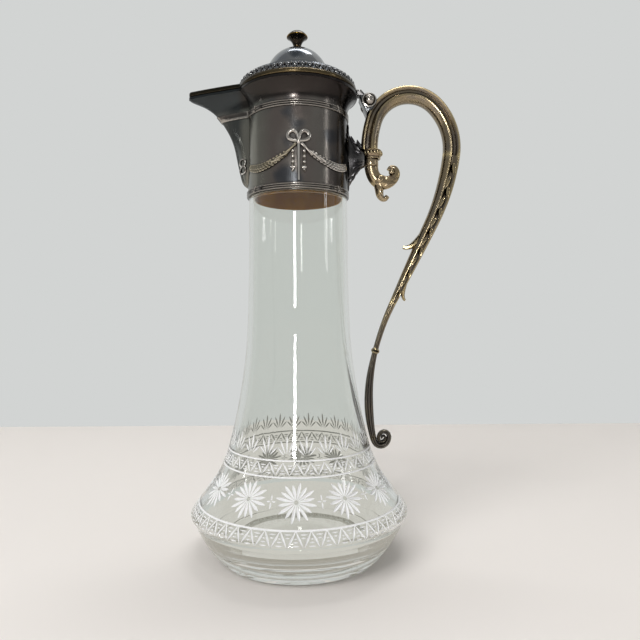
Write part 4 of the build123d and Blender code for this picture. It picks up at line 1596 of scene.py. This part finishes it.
@dataclass
class PlainNodes:
    """The CAD pieces whose solids are right as they are, or once their edges are rounded."""

    collar: tuple[str, ...] = ("collar_shell", "spout", "mouth_rim")
    shaded_relief: tuple[str, ...] = ("hinge_pin",)
    lid: tuple[str, ...] = (
        "finial_nut", "finial_washer", "lid_bead_band", "lid_bezel", "lid_cushion", "lid_dome",
    )
    gilt: tuple[str, ...] = ("neck_liner",)
    cement: tuple[str, ...] = ("neck_cement",)
    rounded: tuple[tuple[str, str, str, str, float], ...] = (
        ("spout_bows", "relief", "jug", "mount_plate", 0.35),
        ("spout_reeded_band", "bands", "jug", "mount_plate", 0.3),
        ("hinge_saddle", "trim", "jug", "handle_plate", 0.6),
        ("lid_plate", "rim", "lid", "lid_plate", 0.8),
        ("lid_hinge_lug", "shaded_relief", "lid", "lid_plate", 0.5),
        ("finial_cap", "finial", "lid", "lid_plate", 0.3),
        ("finial_stem", "finial", "lid", "lid_plate", 0.2),
        ("knop_disc", "root", "jug", "handle_plate", 0.5),
    )
    web_point: tuple[float, float, float] = (37.3, 0, 257.0)
    web_side: tuple[float, float, float] = (-0.924, 0, -0.382)

    def build(self, finishes: Finishes) -> None:
        """Put each node's finish in its slots, and round the edges of the cast ones.

        Args:
            finishes: The jug's finishes.
        """
        for group in ("collar", "shaded_relief", "lid", "gilt", "cement"):
            for name in getattr(self, group):
                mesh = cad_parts[name].data
                mesh.materials.clear()
                mesh.materials.append(getattr(finishes, group))
            LOG.info("%s finish on %d nodes", group, len(getattr(self, group)))
        for node, finish, body, slot, radius in self.rounded:
            trim = None
            if node == "hinge_saddle":
                trim = (Vector(self.web_point), Vector(self.web_side))
            name = f"rounded_{node}"
            softened(node, name, getattr(finishes, finish), body, radius, trim)


@dataclass
class Garlands:
    """Bows, swags and husk drops cast on both faces of the mount."""

    mount_r: float = 28.7
    bow_turn: float = -87.1
    loop_lean: float = 0.72
    loop_long: float = 6.6
    loop_half: float = 3.1
    tail_z: float = 229.2
    ribbon: float = 1.9
    knot_z: float = 227.5
    knot_r: float = 1.35
    drop_end: float = 208.6
    husk_side: float = 2.9
    husk_count: int = 4
    cord_share: float = 0.62
    swag_line: tuple[tuple[float, float], ...] = (
        (3.0, 226.4), (6.0, 224.9), (11.5, 222.3), (18.0, 220.3), (26.0, 218.4), (34.5, 217.0),
        (45.5, 216.2), (56.0, 216.8), (65.0, 218.2),
    )
    swag_width: tuple[tuple[float, float], ...] = (
        (3.0, 1.3), (18.0, 2.6), (45.0, 4.0), (66.0, 3.2),
    )
    loop_steps: int = 25
    swag_start: float = 3.0
    swag_step: float = 1.9
    swag_stops: int = 33
    spout_sag: float = 0.7
    sag_turn: float = 30.0
    least_leaf: float = 1.9
    twist_stops: int = 15
    twist_step: float = 0.62
    husk_step: float = 2.9

    def draw_bow(self, bm: bmesh.types.BMesh) -> None:
        """Draw the two ribbon loops, their tails and the knot.

        Args:
            bm: The flat drawing.
        """
        for side in (1, -1):
            ahead = Vector((side * math.cos(self.loop_lean), math.sin(self.loop_lean), 0))
            across = Vector((-ahead.y, ahead.x, 0))
            loop, last = [], None
            for i in range(self.loop_steps + 2):
                turn = math.radians(360 / self.loop_steps * i)
                point = Vector((0, self.knot_z + 0.4, 0.45))
                point += ahead * (self.loop_long / 2 * (1 - math.cos(turn)))
                point += across * (self.loop_half * math.sin(turn) * math.sin(turn / 2))
                if last is not None:
                    broad = self.ribbon * (0.85 + 0.25 * math.sin(turn / 2))
                    loop.append(Station(last, (point - last).normalized(), broad, 1.7))
                last = point
            sweep(bm, round_section(10), loop, Vector((0, 0, 1)))
            add_leaf(bm, flat_place(side * 3.6, self.tail_z, 0.35, 90 + side * 118), 4.6, 1.5, 1.5)
            add_leaf(bm, flat_place(side * 0.6, self.knot_z, 0.45, -90 + side * 42), 4.2, 1.5, 1.3)
        knot = Matrix.Translation((0, self.knot_z, 0.55))
        add_bead(bm, knot, (2 * self.knot_r, 2.2 * self.knot_r, 2.1), 12)

    def draw_swag(self, bm: bmesh.types.BMesh, side: int) -> None:
        """Draw one swag: a padded cord under rows of small laurel leaves.

        Args:
            bm: The flat drawing.
            side: 1 for the handle's side, -1 for the spout's.
        """
        drop = 0.0 if side > 0 else self.spout_sag
        line = []
        for stop in range(self.swag_stops):
            turn = self.swag_start + self.swag_step * stop
            here, ahead = (
                Vector((self.mount_r * math.radians(at), along(self.swag_line, at), 0))
                for at in (turn, turn + 1)
            )
            lower = drop * min(1.0, turn / self.sag_turn)
            here.y -= lower
            ahead.y -= lower
            heading = ahead - here
            here.z = 0.15
            here.x *= side
            heading.x *= side
            width = along(self.swag_width, turn)
            line.append(Station(here, heading.normalized(), width * self.cord_share, 1.2))
        sweep(bm, round_section(8), line, Vector((0, 0, 1)))
        for number, station in enumerate(line[1:-1]):
            run = math.degrees(math.atan2(station.heading.y, station.heading.x))
            size = station.width / self.cord_share
            spread = ((0.0, 0.95),) if number % 2 else ((0.27, 0.62), (-0.27, 0.62))
            if size < self.least_leaf:
                continue
            for shift, lift in spread:
                across = Vector((-station.heading.y, station.heading.x, 0)) * shift * size
                place = flat_place(
                    station.centre.x + across.x,
                    station.centre.y + across.y,
                    lift,
                    run + 62 * shift,
                )
                add_leaf(bm, place, 1.3 + 0.30 * size, 0.5 + 0.31 * size, 1.4, 0.10)
        for twist in (1, -1):
            strand = []
            for i, station in enumerate(line[: self.twist_stops]):
                side_step = Vector((-station.heading.y, station.heading.x, 0))
                wave = i * self.twist_step
                shift = twist * math.cos(wave) * 0.42 * (0.7 + 0.03 * i)
                centre = station.centre + side_step * shift
                centre.z = 0.75 + 0.3 * math.sin(wave) * twist
                strand.append(Station(centre, station.heading, 0.95 + 0.02 * i, 1.0))
            sweep(bm, round_section(8), strand, Vector((0, 0, 1)))
        end = line[-1]
        add_bead(bm, Matrix.Translation((end.centre.x, end.centre.y, 0.4)), (2.6, 2.6, 2.0), 10)

    def draw_drop(self, bm: bmesh.types.BMesh) -> None:
        """Draw the pendant ribbon and its two strands of husks and beads.

        Args:
            bm: The flat drawing.
        """
        stem = [
            Station(Vector((0, z, 0.35)), Vector((0, -1, 0)), wide, 1.5)
            for z, wide in ((self.knot_z - 1.0, 1.5), (218.0, 1.25), (211.0, 1.1), (206.9, 1.3))
        ]
        sweep(bm, round_section(8), stem, Vector((0, 0, 1)))
        for side in (1, -1):
            for number in range(self.husk_count):
                z = self.knot_z - 5.0 - number * self.husk_step
                husk = flat_place(side * self.husk_side, z, 0.3, -90 + side * 8)
                add_leaf(bm, husk, 2.5, 1.9, 1.2, 0.08)
                place = Matrix.Translation((side * (self.husk_side + 0.15), z + 0.2, 0.4))
                add_bead(bm, place, (1.6, 1.5, 1.3), 8)
            for dx, dz in ((0, -0.2), (-0.8, 0.9), (0.8, 0.9)):
                spot = (side * self.husk_side + dx, self.drop_end + 4.4 + dz, 0.3)
                add_bead(bm, Matrix.Translation(spot), (1.3, 1.3, 1.2), 6)

    def build(self, finishes: Finishes) -> None:
        """Cast every garland twice, once for each face of the mount.

        Args:
            finishes: The jug's finishes.
        """
        drawings = {
            "bow": self.draw_bow,
            "handle_swag": lambda bm: self.draw_swag(bm, 1),
            "spout_swag": lambda bm: self.draw_swag(bm, -1),
            "husk_drop": self.draw_drop,
        }
        for name, draw in drawings.items():
            finish = finishes.brassy_relief if "spout" in name else finishes.relief
            for face in ("front", "back"):
                bm = bmesh.new()
                draw(bm)
                wrap_on_mount(bm, self.bow_turn, self.mount_r, face == "back")
                piece = f"{name}_{face}_cast"
                finish_piece(bm, piece, finish, "jug", (f"{name}_{face}",))


@dataclass
class HandleStem:
    """The handle's long stem: a fluted loop, a leafy sheath and a reeded tail with its coil."""

    start: tuple[float, float] = (41.3, 230.8)
    heading: float = 90.0
    loop: tuple[Bend, ...] = (Bend(55.8, -18.5), Bend(21.0, -118.9), Bend(35.5, -50.5))
    sheath: tuple[Bend, ...] = (Bend(131.1, -18.3), Bend(49.4))
    tail: tuple[Bend, ...] = (Bend(148.4, 15.2), Bend(101.1, 23.2))
    coil: tuple[Bend, ...] = (
        Bend(12.5, 14.0), Bend(4.0, 105.0), Bend(6.0, 50.0), Bend(2.8, 125.0), Bend(4.2, 55.0),
        Bend(1.9, 125.0), Bend(2.5, 55.0), Bend(1.1, 200.0),
    )
    loop_size: tuple[float, float] = (9.8, 9.0)
    sheath_widths: tuple[float, ...] = (9.8, 9.3, 8.2, 7.2, 5.8, 3.9)
    tail_widths: tuple[float, ...] = (3.9, 3.2, 3.2, 4.4, 5.0, 3.6)
    coil_widths: tuple[float, ...] = (3.6, 3.2, 2.8, 2.3, 1.8, 1.3)
    coil_depth: float = 4.4
    step: float = 1.6
    leaf_tips: tuple[tuple[float, int, float, float], ...] = (
        (0.555, 1, 1.15, 1.15), (0.845, -1, 0.8, 0.85),
    )
    hook: tuple[tuple[float, float, float], ...] = (
        (-2.0, -0.6, 3.0), (2.0, 0.0, 3.3), (5.5, 0.9, 3.2), (8.2, 2.3, 2.6), (9.9, 4.2, 2.0),
        (10.2, 5.4, 1.6),
    )
    leaf_count: int = 13
    loop_hollow: float = 0.17
    sheath_hollow: float = 0.12
    tail_reeds: tuple[int, float] = (3, 0.09)
    coil_reeds: tuple[int, float] = (2, 0.06)
    tie_share: float = 0.38
    tie_lean: float = 0.55
    tie_steps: int = 24
    tie_r: tuple[float, float] = (1.95, 2.2)

    def stretch(
        self, bends: tuple[Bend, ...], before: tuple[Bend, ...]
    ) -> list[tuple[Vector, Vector]]:
        """Follow some bends that come after others along the stem.

        Args:
            bends: The bends to follow.
            before: The bends between the stem's start and them.

        Returns:
            Each place with its direction.
        """
        start, heading = self.start, self.heading
        if before:
            at, run = walk(start, heading, before, self.step)[-1]
            start, heading = (at.x, at.z), math.degrees(math.atan2(run.z, run.x))
        return walk(start, heading, bends, self.step)

    @staticmethod
    def channelled(hollow: float) -> list[tuple[float, float]]:
        """Give the stem's section: an outer bead, a shallow channel and a broad inner bead.

        Args:
            hollow: How far the channel is sunk, as a share of the depth.

        Returns:
            The section, one wide along X with its inner side at +0.5, and one deep along Y.
        """
        face = [
            (-0.5, 0.14), (-0.485, 0.28), (-0.44, 0.38), (-0.38, 0.43), (-0.32, 0.40),
            (-0.27, 0.44 - 0.5 * hollow), (-0.19, 0.44 - hollow), (-0.07, 0.45 - hollow),
            (0.01, 0.46 - 0.6 * hollow), (0.06, 0.47), (0.11, 0.5), (0.17, 0.49), (0.27, 0.44),
            (0.40, 0.35), (0.46, 0.24), (0.5, 0.1),
        ]
        return face + [(u, -w) for u, w in reversed(face)]

    @staticmethod
    def reeds(count: int, hollow: float) -> list[tuple[float, float]]:
        """Give a section with rounded reeds down both of its sides.

        Args:
            count: How many reeds lie side by side on each side.
            hollow: How deep the valleys between them are, as a share of the depth.

        Returns:
            The section, one wide along X and one deep along Y.
        """
        points = []
        parts = 5 * count
        for side in (1, -1):
            for i in range(parts + 1):
                share = i / parts
                u = side * (0.5 - share) * 0.9
                ridge = abs(math.sin(math.pi * share * count)) ** 0.6
                shoulder = 1 - 0.30 * abs(2 * share - 1) ** 3
                points.append((u, side * (0.5 * shoulder - hollow * (1 - ridge))))
            points.append((side * -0.5, side * 0.12))
            points.append((side * -0.5, side * -0.12))
        return points

    def swept(
        self,
        places: list[tuple[Vector, Vector]],
        widths: tuple[float, ...],
        depth: float,
        section: list[tuple[float, float]],
    ) -> bmesh.types.BMesh:
        """Sweep a section along places.

        Args:
            places: The places and headings.
            widths: The widths, evenly spaced along the places.
            depth: The depth as a share of the width, or a fixed depth where it is over 2.
            section: The section.

        Returns:
            The bar.
        """
        bm = bmesh.new()
        marks = [(float(i), width) for i, width in enumerate(widths)]
        last = len(places) - 1
        stations = []
        for i, (at, run) in enumerate(places):
            width = along(marks, i / last * (len(widths) - 1))
            stations.append(Station(at, run, width, depth if depth > 2 else width * depth))
        sweep(bm, section, stations)
        return bm

    def dress_sheath(self, bm: bmesh.types.BMesh, places: list[tuple[Vector, Vector]]) -> None:
        """Lay low leaves down both faces of the sheath, and the two tips that flick out.

        Args:
            bm: The sheath.
            places: The places along it, with their directions.
        """
        marks = [(float(i), width) for i, width in enumerate(self.sheath_widths)]
        last = len(places) - 1
        for side in (1, -1):
            for number in range(self.leaf_count):
                share = 0.06 + 0.92 * number / self.leaf_count
                at, run = places[round(share * last)]
                width = along(marks, share * (len(self.sheath_widths) - 1))
                out = Vector((0, side, 0))
                normal = Vector((0, 1, 0)).cross(run)
                lean = 1 if number % 2 else -1
                seat = at + out * (width * 0.40) - normal * width * (0.14 - 0.03 * lean)
                place = place_matrix(seat, run + normal * lean * 0.2, out)
                add_leaf(bm, place, 2.0 + width * 0.62, 0.6 + width * 0.15, 1.0, 0.02)
        for share, lean, flick, broad in self.leaf_tips:
            at, run = places[round(share * last)]
            width = along(marks, share * (len(self.sheath_widths) - 1))
            normal = Vector((0, 1, 0)).cross(run) * lean
            seat = at + normal * (width / 2 - 1.2)
            hook = []
            for ahead, out, size in self.hook:
                spot = seat + run * ahead + normal * out * flick
                hook.append((spot.x, spot.z, size * broad))
            sweep(bm, round_section(10), smooth_stations(hook, 1.25, 3))

    def build(self, finishes: Finishes) -> None:
        """Build the loop, the sheath, the tail, the coil and the tail's tie.

        Args:
            finishes: The jug's finishes.
        """
        share = self.loop_size[1] / self.loop_size[0]
        loop_widths = (self.loop_size[0],) * 2
        fluted, leafy = self.channelled(self.loop_hollow), self.channelled(self.sheath_hollow)
        reeded, coiled = self.reeds(*self.tail_reeds), self.reeds(*self.coil_reeds)
        before: tuple[Bend, ...] = ()
        for name, node, bends, widths, depth, section in (
            ("fluted_loop", "handle_loop", self.loop, loop_widths, share, fluted),
            ("leafy_sheath", "handle_leaf_sheath", self.sheath, self.sheath_widths, share, leafy),
            ("reeded_tail", "handle_tail", self.tail, self.tail_widths, share, reeded),
            ("tail_coil", "tail_volute", self.coil, self.coil_widths, self.coil_depth, coiled),
        ):
            places = self.stretch(bends, before)
            bm = self.swept(places, widths, depth, section)
            if bends is self.sheath:
                self.dress_sheath(bm, places)
            finish_piece(bm, name, finishes.handle, "jug", (node,))
            before += bends
        self.build_tie(finishes)

    def build_tie(self, finishes: Finishes) -> None:
        """Bind the tail with two crossed rings of wire.

        Args:
            finishes: The jug's finishes.
        """
        bm = bmesh.new()
        tail = self.stretch(self.tail, self.loop + self.sheath)
        at, run = tail[round(self.tie_share * (len(tail) - 1))]
        normal = Vector((0, 1, 0)).cross(run)
        for lean in (self.tie_lean, -self.tie_lean):
            axis = (run + Vector((0, lean, 0))).normalized()
            ring = []
            for i in range(self.tie_steps + 1):
                turn = math.radians(360 / self.tie_steps * i)
                spoke = normal * math.cos(turn) * self.tie_r[0]
                cross = axis.cross(normal).normalized() * math.sin(turn) * self.tie_r[1]
                heading = axis.cross(spoke + cross).normalized()
                ring.append(Station(at + spoke + cross, heading, 1.0, 1.4))
            sweep(bm, round_section(6), ring, axis)
        finish_piece(bm, "crossed_tail_tie", finishes.handle, "jug", ("tail_tie",))


@dataclass
class HandleRoot:
    """What joins the stem to the mount: the knop and its scroll, the spur and the leaf plate."""

    knop_x: float = 42.9
    knop_z: float = 228.15
    knop_r: float = 5.5
    knop_h: float = 5.3
    rope_turns: int = 18
    mount_r: float = 28.7
    plate_z: float = 226.4
    plate_half: float = 19.9

    def build_knop(self, finishes: Finishes) -> None:
        """Turn the knop, an ogee between two fillets, and lay slanting beads round its top.

        Args:
            finishes: The jug's finishes.
        """
        bm = bmesh.new()
        half = self.knop_h / 2
        outline = [
            (0.0, -half), (4.5, -half), (4.9, -half + 0.3), (4.9, -half + 0.8), (4.6, -half + 1.1),
            (5.2, -half + 1.7), (5.5, half - 2.3), (5.0, half - 1.6), (5.2, half - 0.7),
            (5.4, half - 0.3), (5.1, half), (0.0, half),
        ]
        spin_profile(bm, outline, 48)
        for number in range(self.rope_turns):
            turn = 360 / self.rope_turns * number
            seat = polar(self.knop_r - 0.35, turn, half - 1.9)
            frame_here = place_matrix(seat, Vector((0, 0, 1)), polar(1, turn, 0))
            lean = Matrix.Rotation(math.radians(28), 4, "Z")
            add_bead(bm, frame_here @ lean, (2.9, 1.75, 2.2), 10)
        bmesh.ops.translate(bm, vec=(self.knop_x, 0, self.knop_z), verts=bm.verts)
        finish_piece(bm, "roped_knop", finishes.root, "jug", ("handle_knop",))

    def build_scroll(self, finishes: Finishes) -> None:
        """Sweep the scroll's stem into its volute, and the leaf that curls off its heel.

        Args:
            finishes: The jug's finishes.
        """
        bm = bmesh.new()
        stem = [
            (42.4, 221.4, 8.0), (43.2, 217.6, 7.8), (45.2, 214.2, 8.2), (48.6, 212.4, 8.6),
            (52.4, 212.8, 7.2), (55.6, 214.9, 5.6), (57.0, 217.8, 4.2), (56.1, 220.5, 3.1),
            (53.7, 221.0, 2.5), (52.2, 219.2, 2.2),
        ]
        sweep(bm, round_section(14), smooth_stations(stem, 0.76, 4))
        toe = [
            (46.4, 212.2, 5.8), (46.9, 208.6, 5.2), (47.3, 205.2, 4.4), (48.6, 203.2, 3.6),
            (50.4, 202.9, 3.0), (51.7, 204.4, 2.6),
        ]
        sweep(bm, round_section(12), smooth_stations(toe, 1.1, 4))
        leaves = (
            (43.0, 217.8, -58, 7.4, 2.5), (45.4, 217.0, -42, 7.0, 2.3),
            (44.6, 213.0, -50, 7.6, 2.9), (49.0, 213.8, 10, 7.2, 2.6),
            (48.8, 210.6, 16, 7.6, 2.5), (46.6, 210.2, -84, 6.4, 2.6),
            (53.2, 213.2, 52, 5.6, 2.0),
        )
        side_leaves(bm, leaves, 2.8, 1.4, -0.04, 0.12)
        for side in (1, -1):
            add_bead(bm, Matrix.Translation((54.2, side * 1.0, 218.3)), (3.3, 2.6, 3.3), 14)
            add_bead(bm, Matrix.Translation((46.9, side * 3.0, 213.6)), (4.2, 2.0, 4.0), 14)
        finish_piece(
            bm, "acanthus_scroll", finishes.root, "jug", ("handle_terminal_scroll",)
        )

    def build_spur(self, finishes: Finishes) -> None:
        """Carve the spur between the mount and the knop as a bunch of leaves.

        Args:
            finishes: The jug's finishes.
        """
        bm = bmesh.new()
        rows = [
            Station(Vector((x, 0, z)), Vector((1, 0, 0)), high, wide)
            for x, z, high, wide in (
                (28.4, 225.0, 33.0, 6.0), (30.2, 225.2, 28.5, 6.2), (32.2, 225.6, 22.0, 6.6),
                (34.4, 226.0, 16.5, 6.9), (36.4, 226.2, 12.4, 6.9), (38.2, 226.2, 10.4, 6.6),
            )
        ]
        sweep(bm, round_section(20), rows)
        leaves = (
            (37.4, 229.4, 122, 8.0, 2.0), (36.6, 227.6, 132, 9.0, 2.7),
            (37.6, 226.4, 152, 8.2, 3.1), (37.8, 224.6, 196, 8.2, 3.1),
            (37.0, 223.4, 218, 9.0, 2.8), (35.4, 221.8, 240, 9.4, 2.2),
            (33.4, 231.4, 118, 8.0, 2.0), (32.8, 218.0, 244, 8.0, 1.8),
        )
        side_leaves(bm, leaves, 3.0, 1.7, -0.03, 0.14)
        finish_piece(
            bm, "leafy_spur", finishes.shaded_relief, "jug", ("bracket_spur",)
        )

    def build_leaf_plate(self, finishes: Finishes) -> None:
        """Cast the leaf plate: a ribbed ground with pairs of leaves that spread up and down.

        Args:
            finishes: The jug's finishes.
        """
        bm = bmesh.new()
        ground = []
        for i in range(17):
            share = i / 16
            z = self.plate_z + (2 * share - 1) * self.plate_half
            width = 15.0 * math.sin(math.pi * (0.06 + 0.88 * share)) ** 0.8
            ground.append(Station(Vector((0, z, -0.1)), Vector((0, 1, 0)), width, 1.1))
        sweep(bm, round_section(16), ground, Vector((0, 0, 1)))
        for way in (1, -1):
            for number in range(5):
                rise = 1.0 + 3.4 * number
                size = 1.0 - 0.13 * number
                for side in (1, -1):
                    turn = way * (90 - side * way * (52 - 7 * number))
                    place = flat_place(side * 1.4, self.plate_z + way * rise, 0.55, turn)
                    add_leaf(bm, place, 9.6 * size, 4.2 * size, 1.5, 0.02, -0.16 * side * way)
            place = flat_place(0, self.plate_z, 0.75, way * 90)
            add_leaf(bm, place, self.plate_half - 0.4, 3.0, 1.5)
        wrap_on_mount(bm, 0.0, self.mount_r, False)
        stands_for = ("handle_leaf_plate",)
        finish_piece(
            bm, "acanthus_plate", finishes.shaded_relief, "jug", stands_for
        )

    def build(self, finishes: Finishes) -> None:
        """Build the knop, the scroll, the spur and the leaf plate.

        Args:
            finishes: The jug's finishes.
        """
        self.build_knop(finishes)
        self.build_scroll(finishes)
        self.build_spur(finishes)
        self.build_leaf_plate(finishes)


@dataclass
class ReededBands:
    """The two moulded bands round the mount, each of three reeds crossed by ribbon ties."""

    bands: tuple[tuple[str, float, float], ...] = (("lower", 202.8, 206.2), ("upper", 246.7, 250.1))
    inner_r: float = 28.6
    reed_proud: float = 0.7
    reed_r: float = 28.75
    tie_turns: tuple[float, ...] = (-38.0, 38.0, 142.0, 218.0)
    tie_r: float = 29.35
    tie_lean: float = 34.0
    leaf_r: float = 29.3
    leaf_shift: float = 4.6

    def build(self, finishes: Finishes) -> None:
        """Turn both bands and bind their ties.

        Args:
            finishes: The jug's finishes.
        """
        for name, low, high in self.bands:
            bm = bmesh.new()
            reed = (high - low) / 6
            outline = [(self.inner_r, low)]
            for number in range(3):
                middle = low + reed * (1 + 2 * number)
                for i in range(9):
                    turn = math.pi * i / 8
                    rise = middle - reed * math.cos(turn)
                    outline.append((self.reed_r + self.reed_proud * math.sin(turn) ** 0.8, rise))
            outline.append((self.inner_r, high))
            spin_profile(bm, outline + outline[:1], 128)
            finish_piece(
                bm, f"{name}_reeds", finishes.bands, "jug", (f"{name}_reeded_band",)
            )
            bm = bmesh.new()
            middle = (low + high) / 2
            for turn in self.tie_turns:
                out = polar(1, turn, 0)
                for lean in (self.tie_lean, -self.tie_lean):
                    place = place_matrix(polar(self.tie_r, turn, middle), Vector((0, 0, 1)), out)
                    place = place @ Matrix.Rotation(math.radians(lean), 4, "Z")
                    add_bead(bm, place, (high - low + 1.3, 1.0, 1.05), 10)
                for shift in (-self.leaf_shift, self.leaf_shift):
                    seat = polar(self.leaf_r, turn + math.degrees(shift / self.leaf_r), middle)
                    way = polar(1, turn + (90 if shift > 0 else -90), 0)
                    add_leaf(bm, place_matrix(seat - way * 3.0, way, out), 5.4, 2.6, 1.0, 0.0)
            stands_for = (f"{name}_band_ties",)
            finish_piece(
                bm, f"{name}_ribbon_ties", finishes.bands, "jug", stands_for
            )


@dataclass
class LidTrim:
    """The leaf tongues and the pearls on the sloping band round the lid."""

    tongues: int = 52
    pearls: int = 116
    tongue_seat: tuple[float, float] = (32.35, 267.0)
    pearl_seat: tuple[float, float] = (33.35, 265.05)
    slope: tuple[float, float] = (0.857, 0.514)

    def build(self, finishes: Finishes) -> None:
        """Lay the tongues up the slope of the band and the pearls round its foot.

        Args:
            finishes: The jug's finishes.
        """
        bm = bmesh.new()
        seat_r, seat_z = self.tongue_seat
        for number in range(self.tongues):
            turn = 360 / self.tongues * number
            out = polar(self.slope[0], turn, self.slope[1])
            up = polar(-self.slope[1], turn, self.slope[0])
            place = place_matrix(polar(seat_r, turn, seat_z), up, out)
            add_bead(bm, place, (3.3, 2.2, 1.3), 10)
            rib = place @ Matrix.Translation((0.1, 0, 0.45))
            add_bead(bm, rib, (2.7, 0.7, 0.9), 6)
            between = polar(seat_r - 0.35, turn + 180 / self.tongues, seat_z + 0.9)
            add_bead(bm, place_matrix(between, up, out), (1.3, 1.1, 1.1), 6)
        for number in range(self.pearls):
            turn = 360 / self.pearls * number
            place = Matrix.Translation(polar(self.pearl_seat[0], turn, self.pearl_seat[1]))
            add_bead(bm, place, (1.2, 1.2, 1.1), 6)
        finish_piece(bm, "lid_tongues_and_pearls", finishes.trim, "lid")


@dataclass
class HingeButtons:
    """The domed button in its ring on each end of the hinge pin."""

    pin_x: float = 41.0
    pin_z: float = 258.0
    seat: float = 5.6

    def build(self, finishes: Finishes) -> None:
        """Turn both buttons, each with a ring, a groove and a dome.

        Args:
            finishes: The jug's finishes.
        """
        for face, side in (("front", -1), ("back", 1)):
            bm = bmesh.new()
            outline = [
                (0.0, 0.0), (4.05, 0.0), (4.2, 0.3), (4.0, 0.75), (3.5, 0.85), (3.15, 0.5),
                (2.95, 0.55), (2.8, 1.2), (2.3, 2.0), (1.4, 2.6), (0.0, 2.85),
            ]
            spin_profile(bm, outline, 40)
            seat = Vector((self.pin_x, side * self.seat, self.pin_z))
            place = place_matrix(seat, Vector((1, 0, 0)), Vector((0, side, 0)))
            bmesh.ops.transform(bm, matrix=place, verts=bm.verts)
            bmesh.ops.recalc_face_normals(bm, faces=bm.faces)
            stands_for = (f"hinge_ball_{face}",)
            finish_piece(
                bm, f"{face}_button", finishes.relief, "jug", stands_for
            )


def main() -> None:
    """Build the studio and the jug's sub-assemblies in order."""
    logging.basicConfig(level=logging.INFO, format="%(name)s %(message)s")
    finishes = Finishes()
    Studio().build()
    for part in (
        PlainNodes(),
        CutBottle(),
        Garlands(),
        HandleStem(),
        HandleRoot(),
        ReededBands(),
        LidTrim(),
        HingeButtons(),
    ):
        part.build(finishes)


if __name__ == "__main__":
    main()
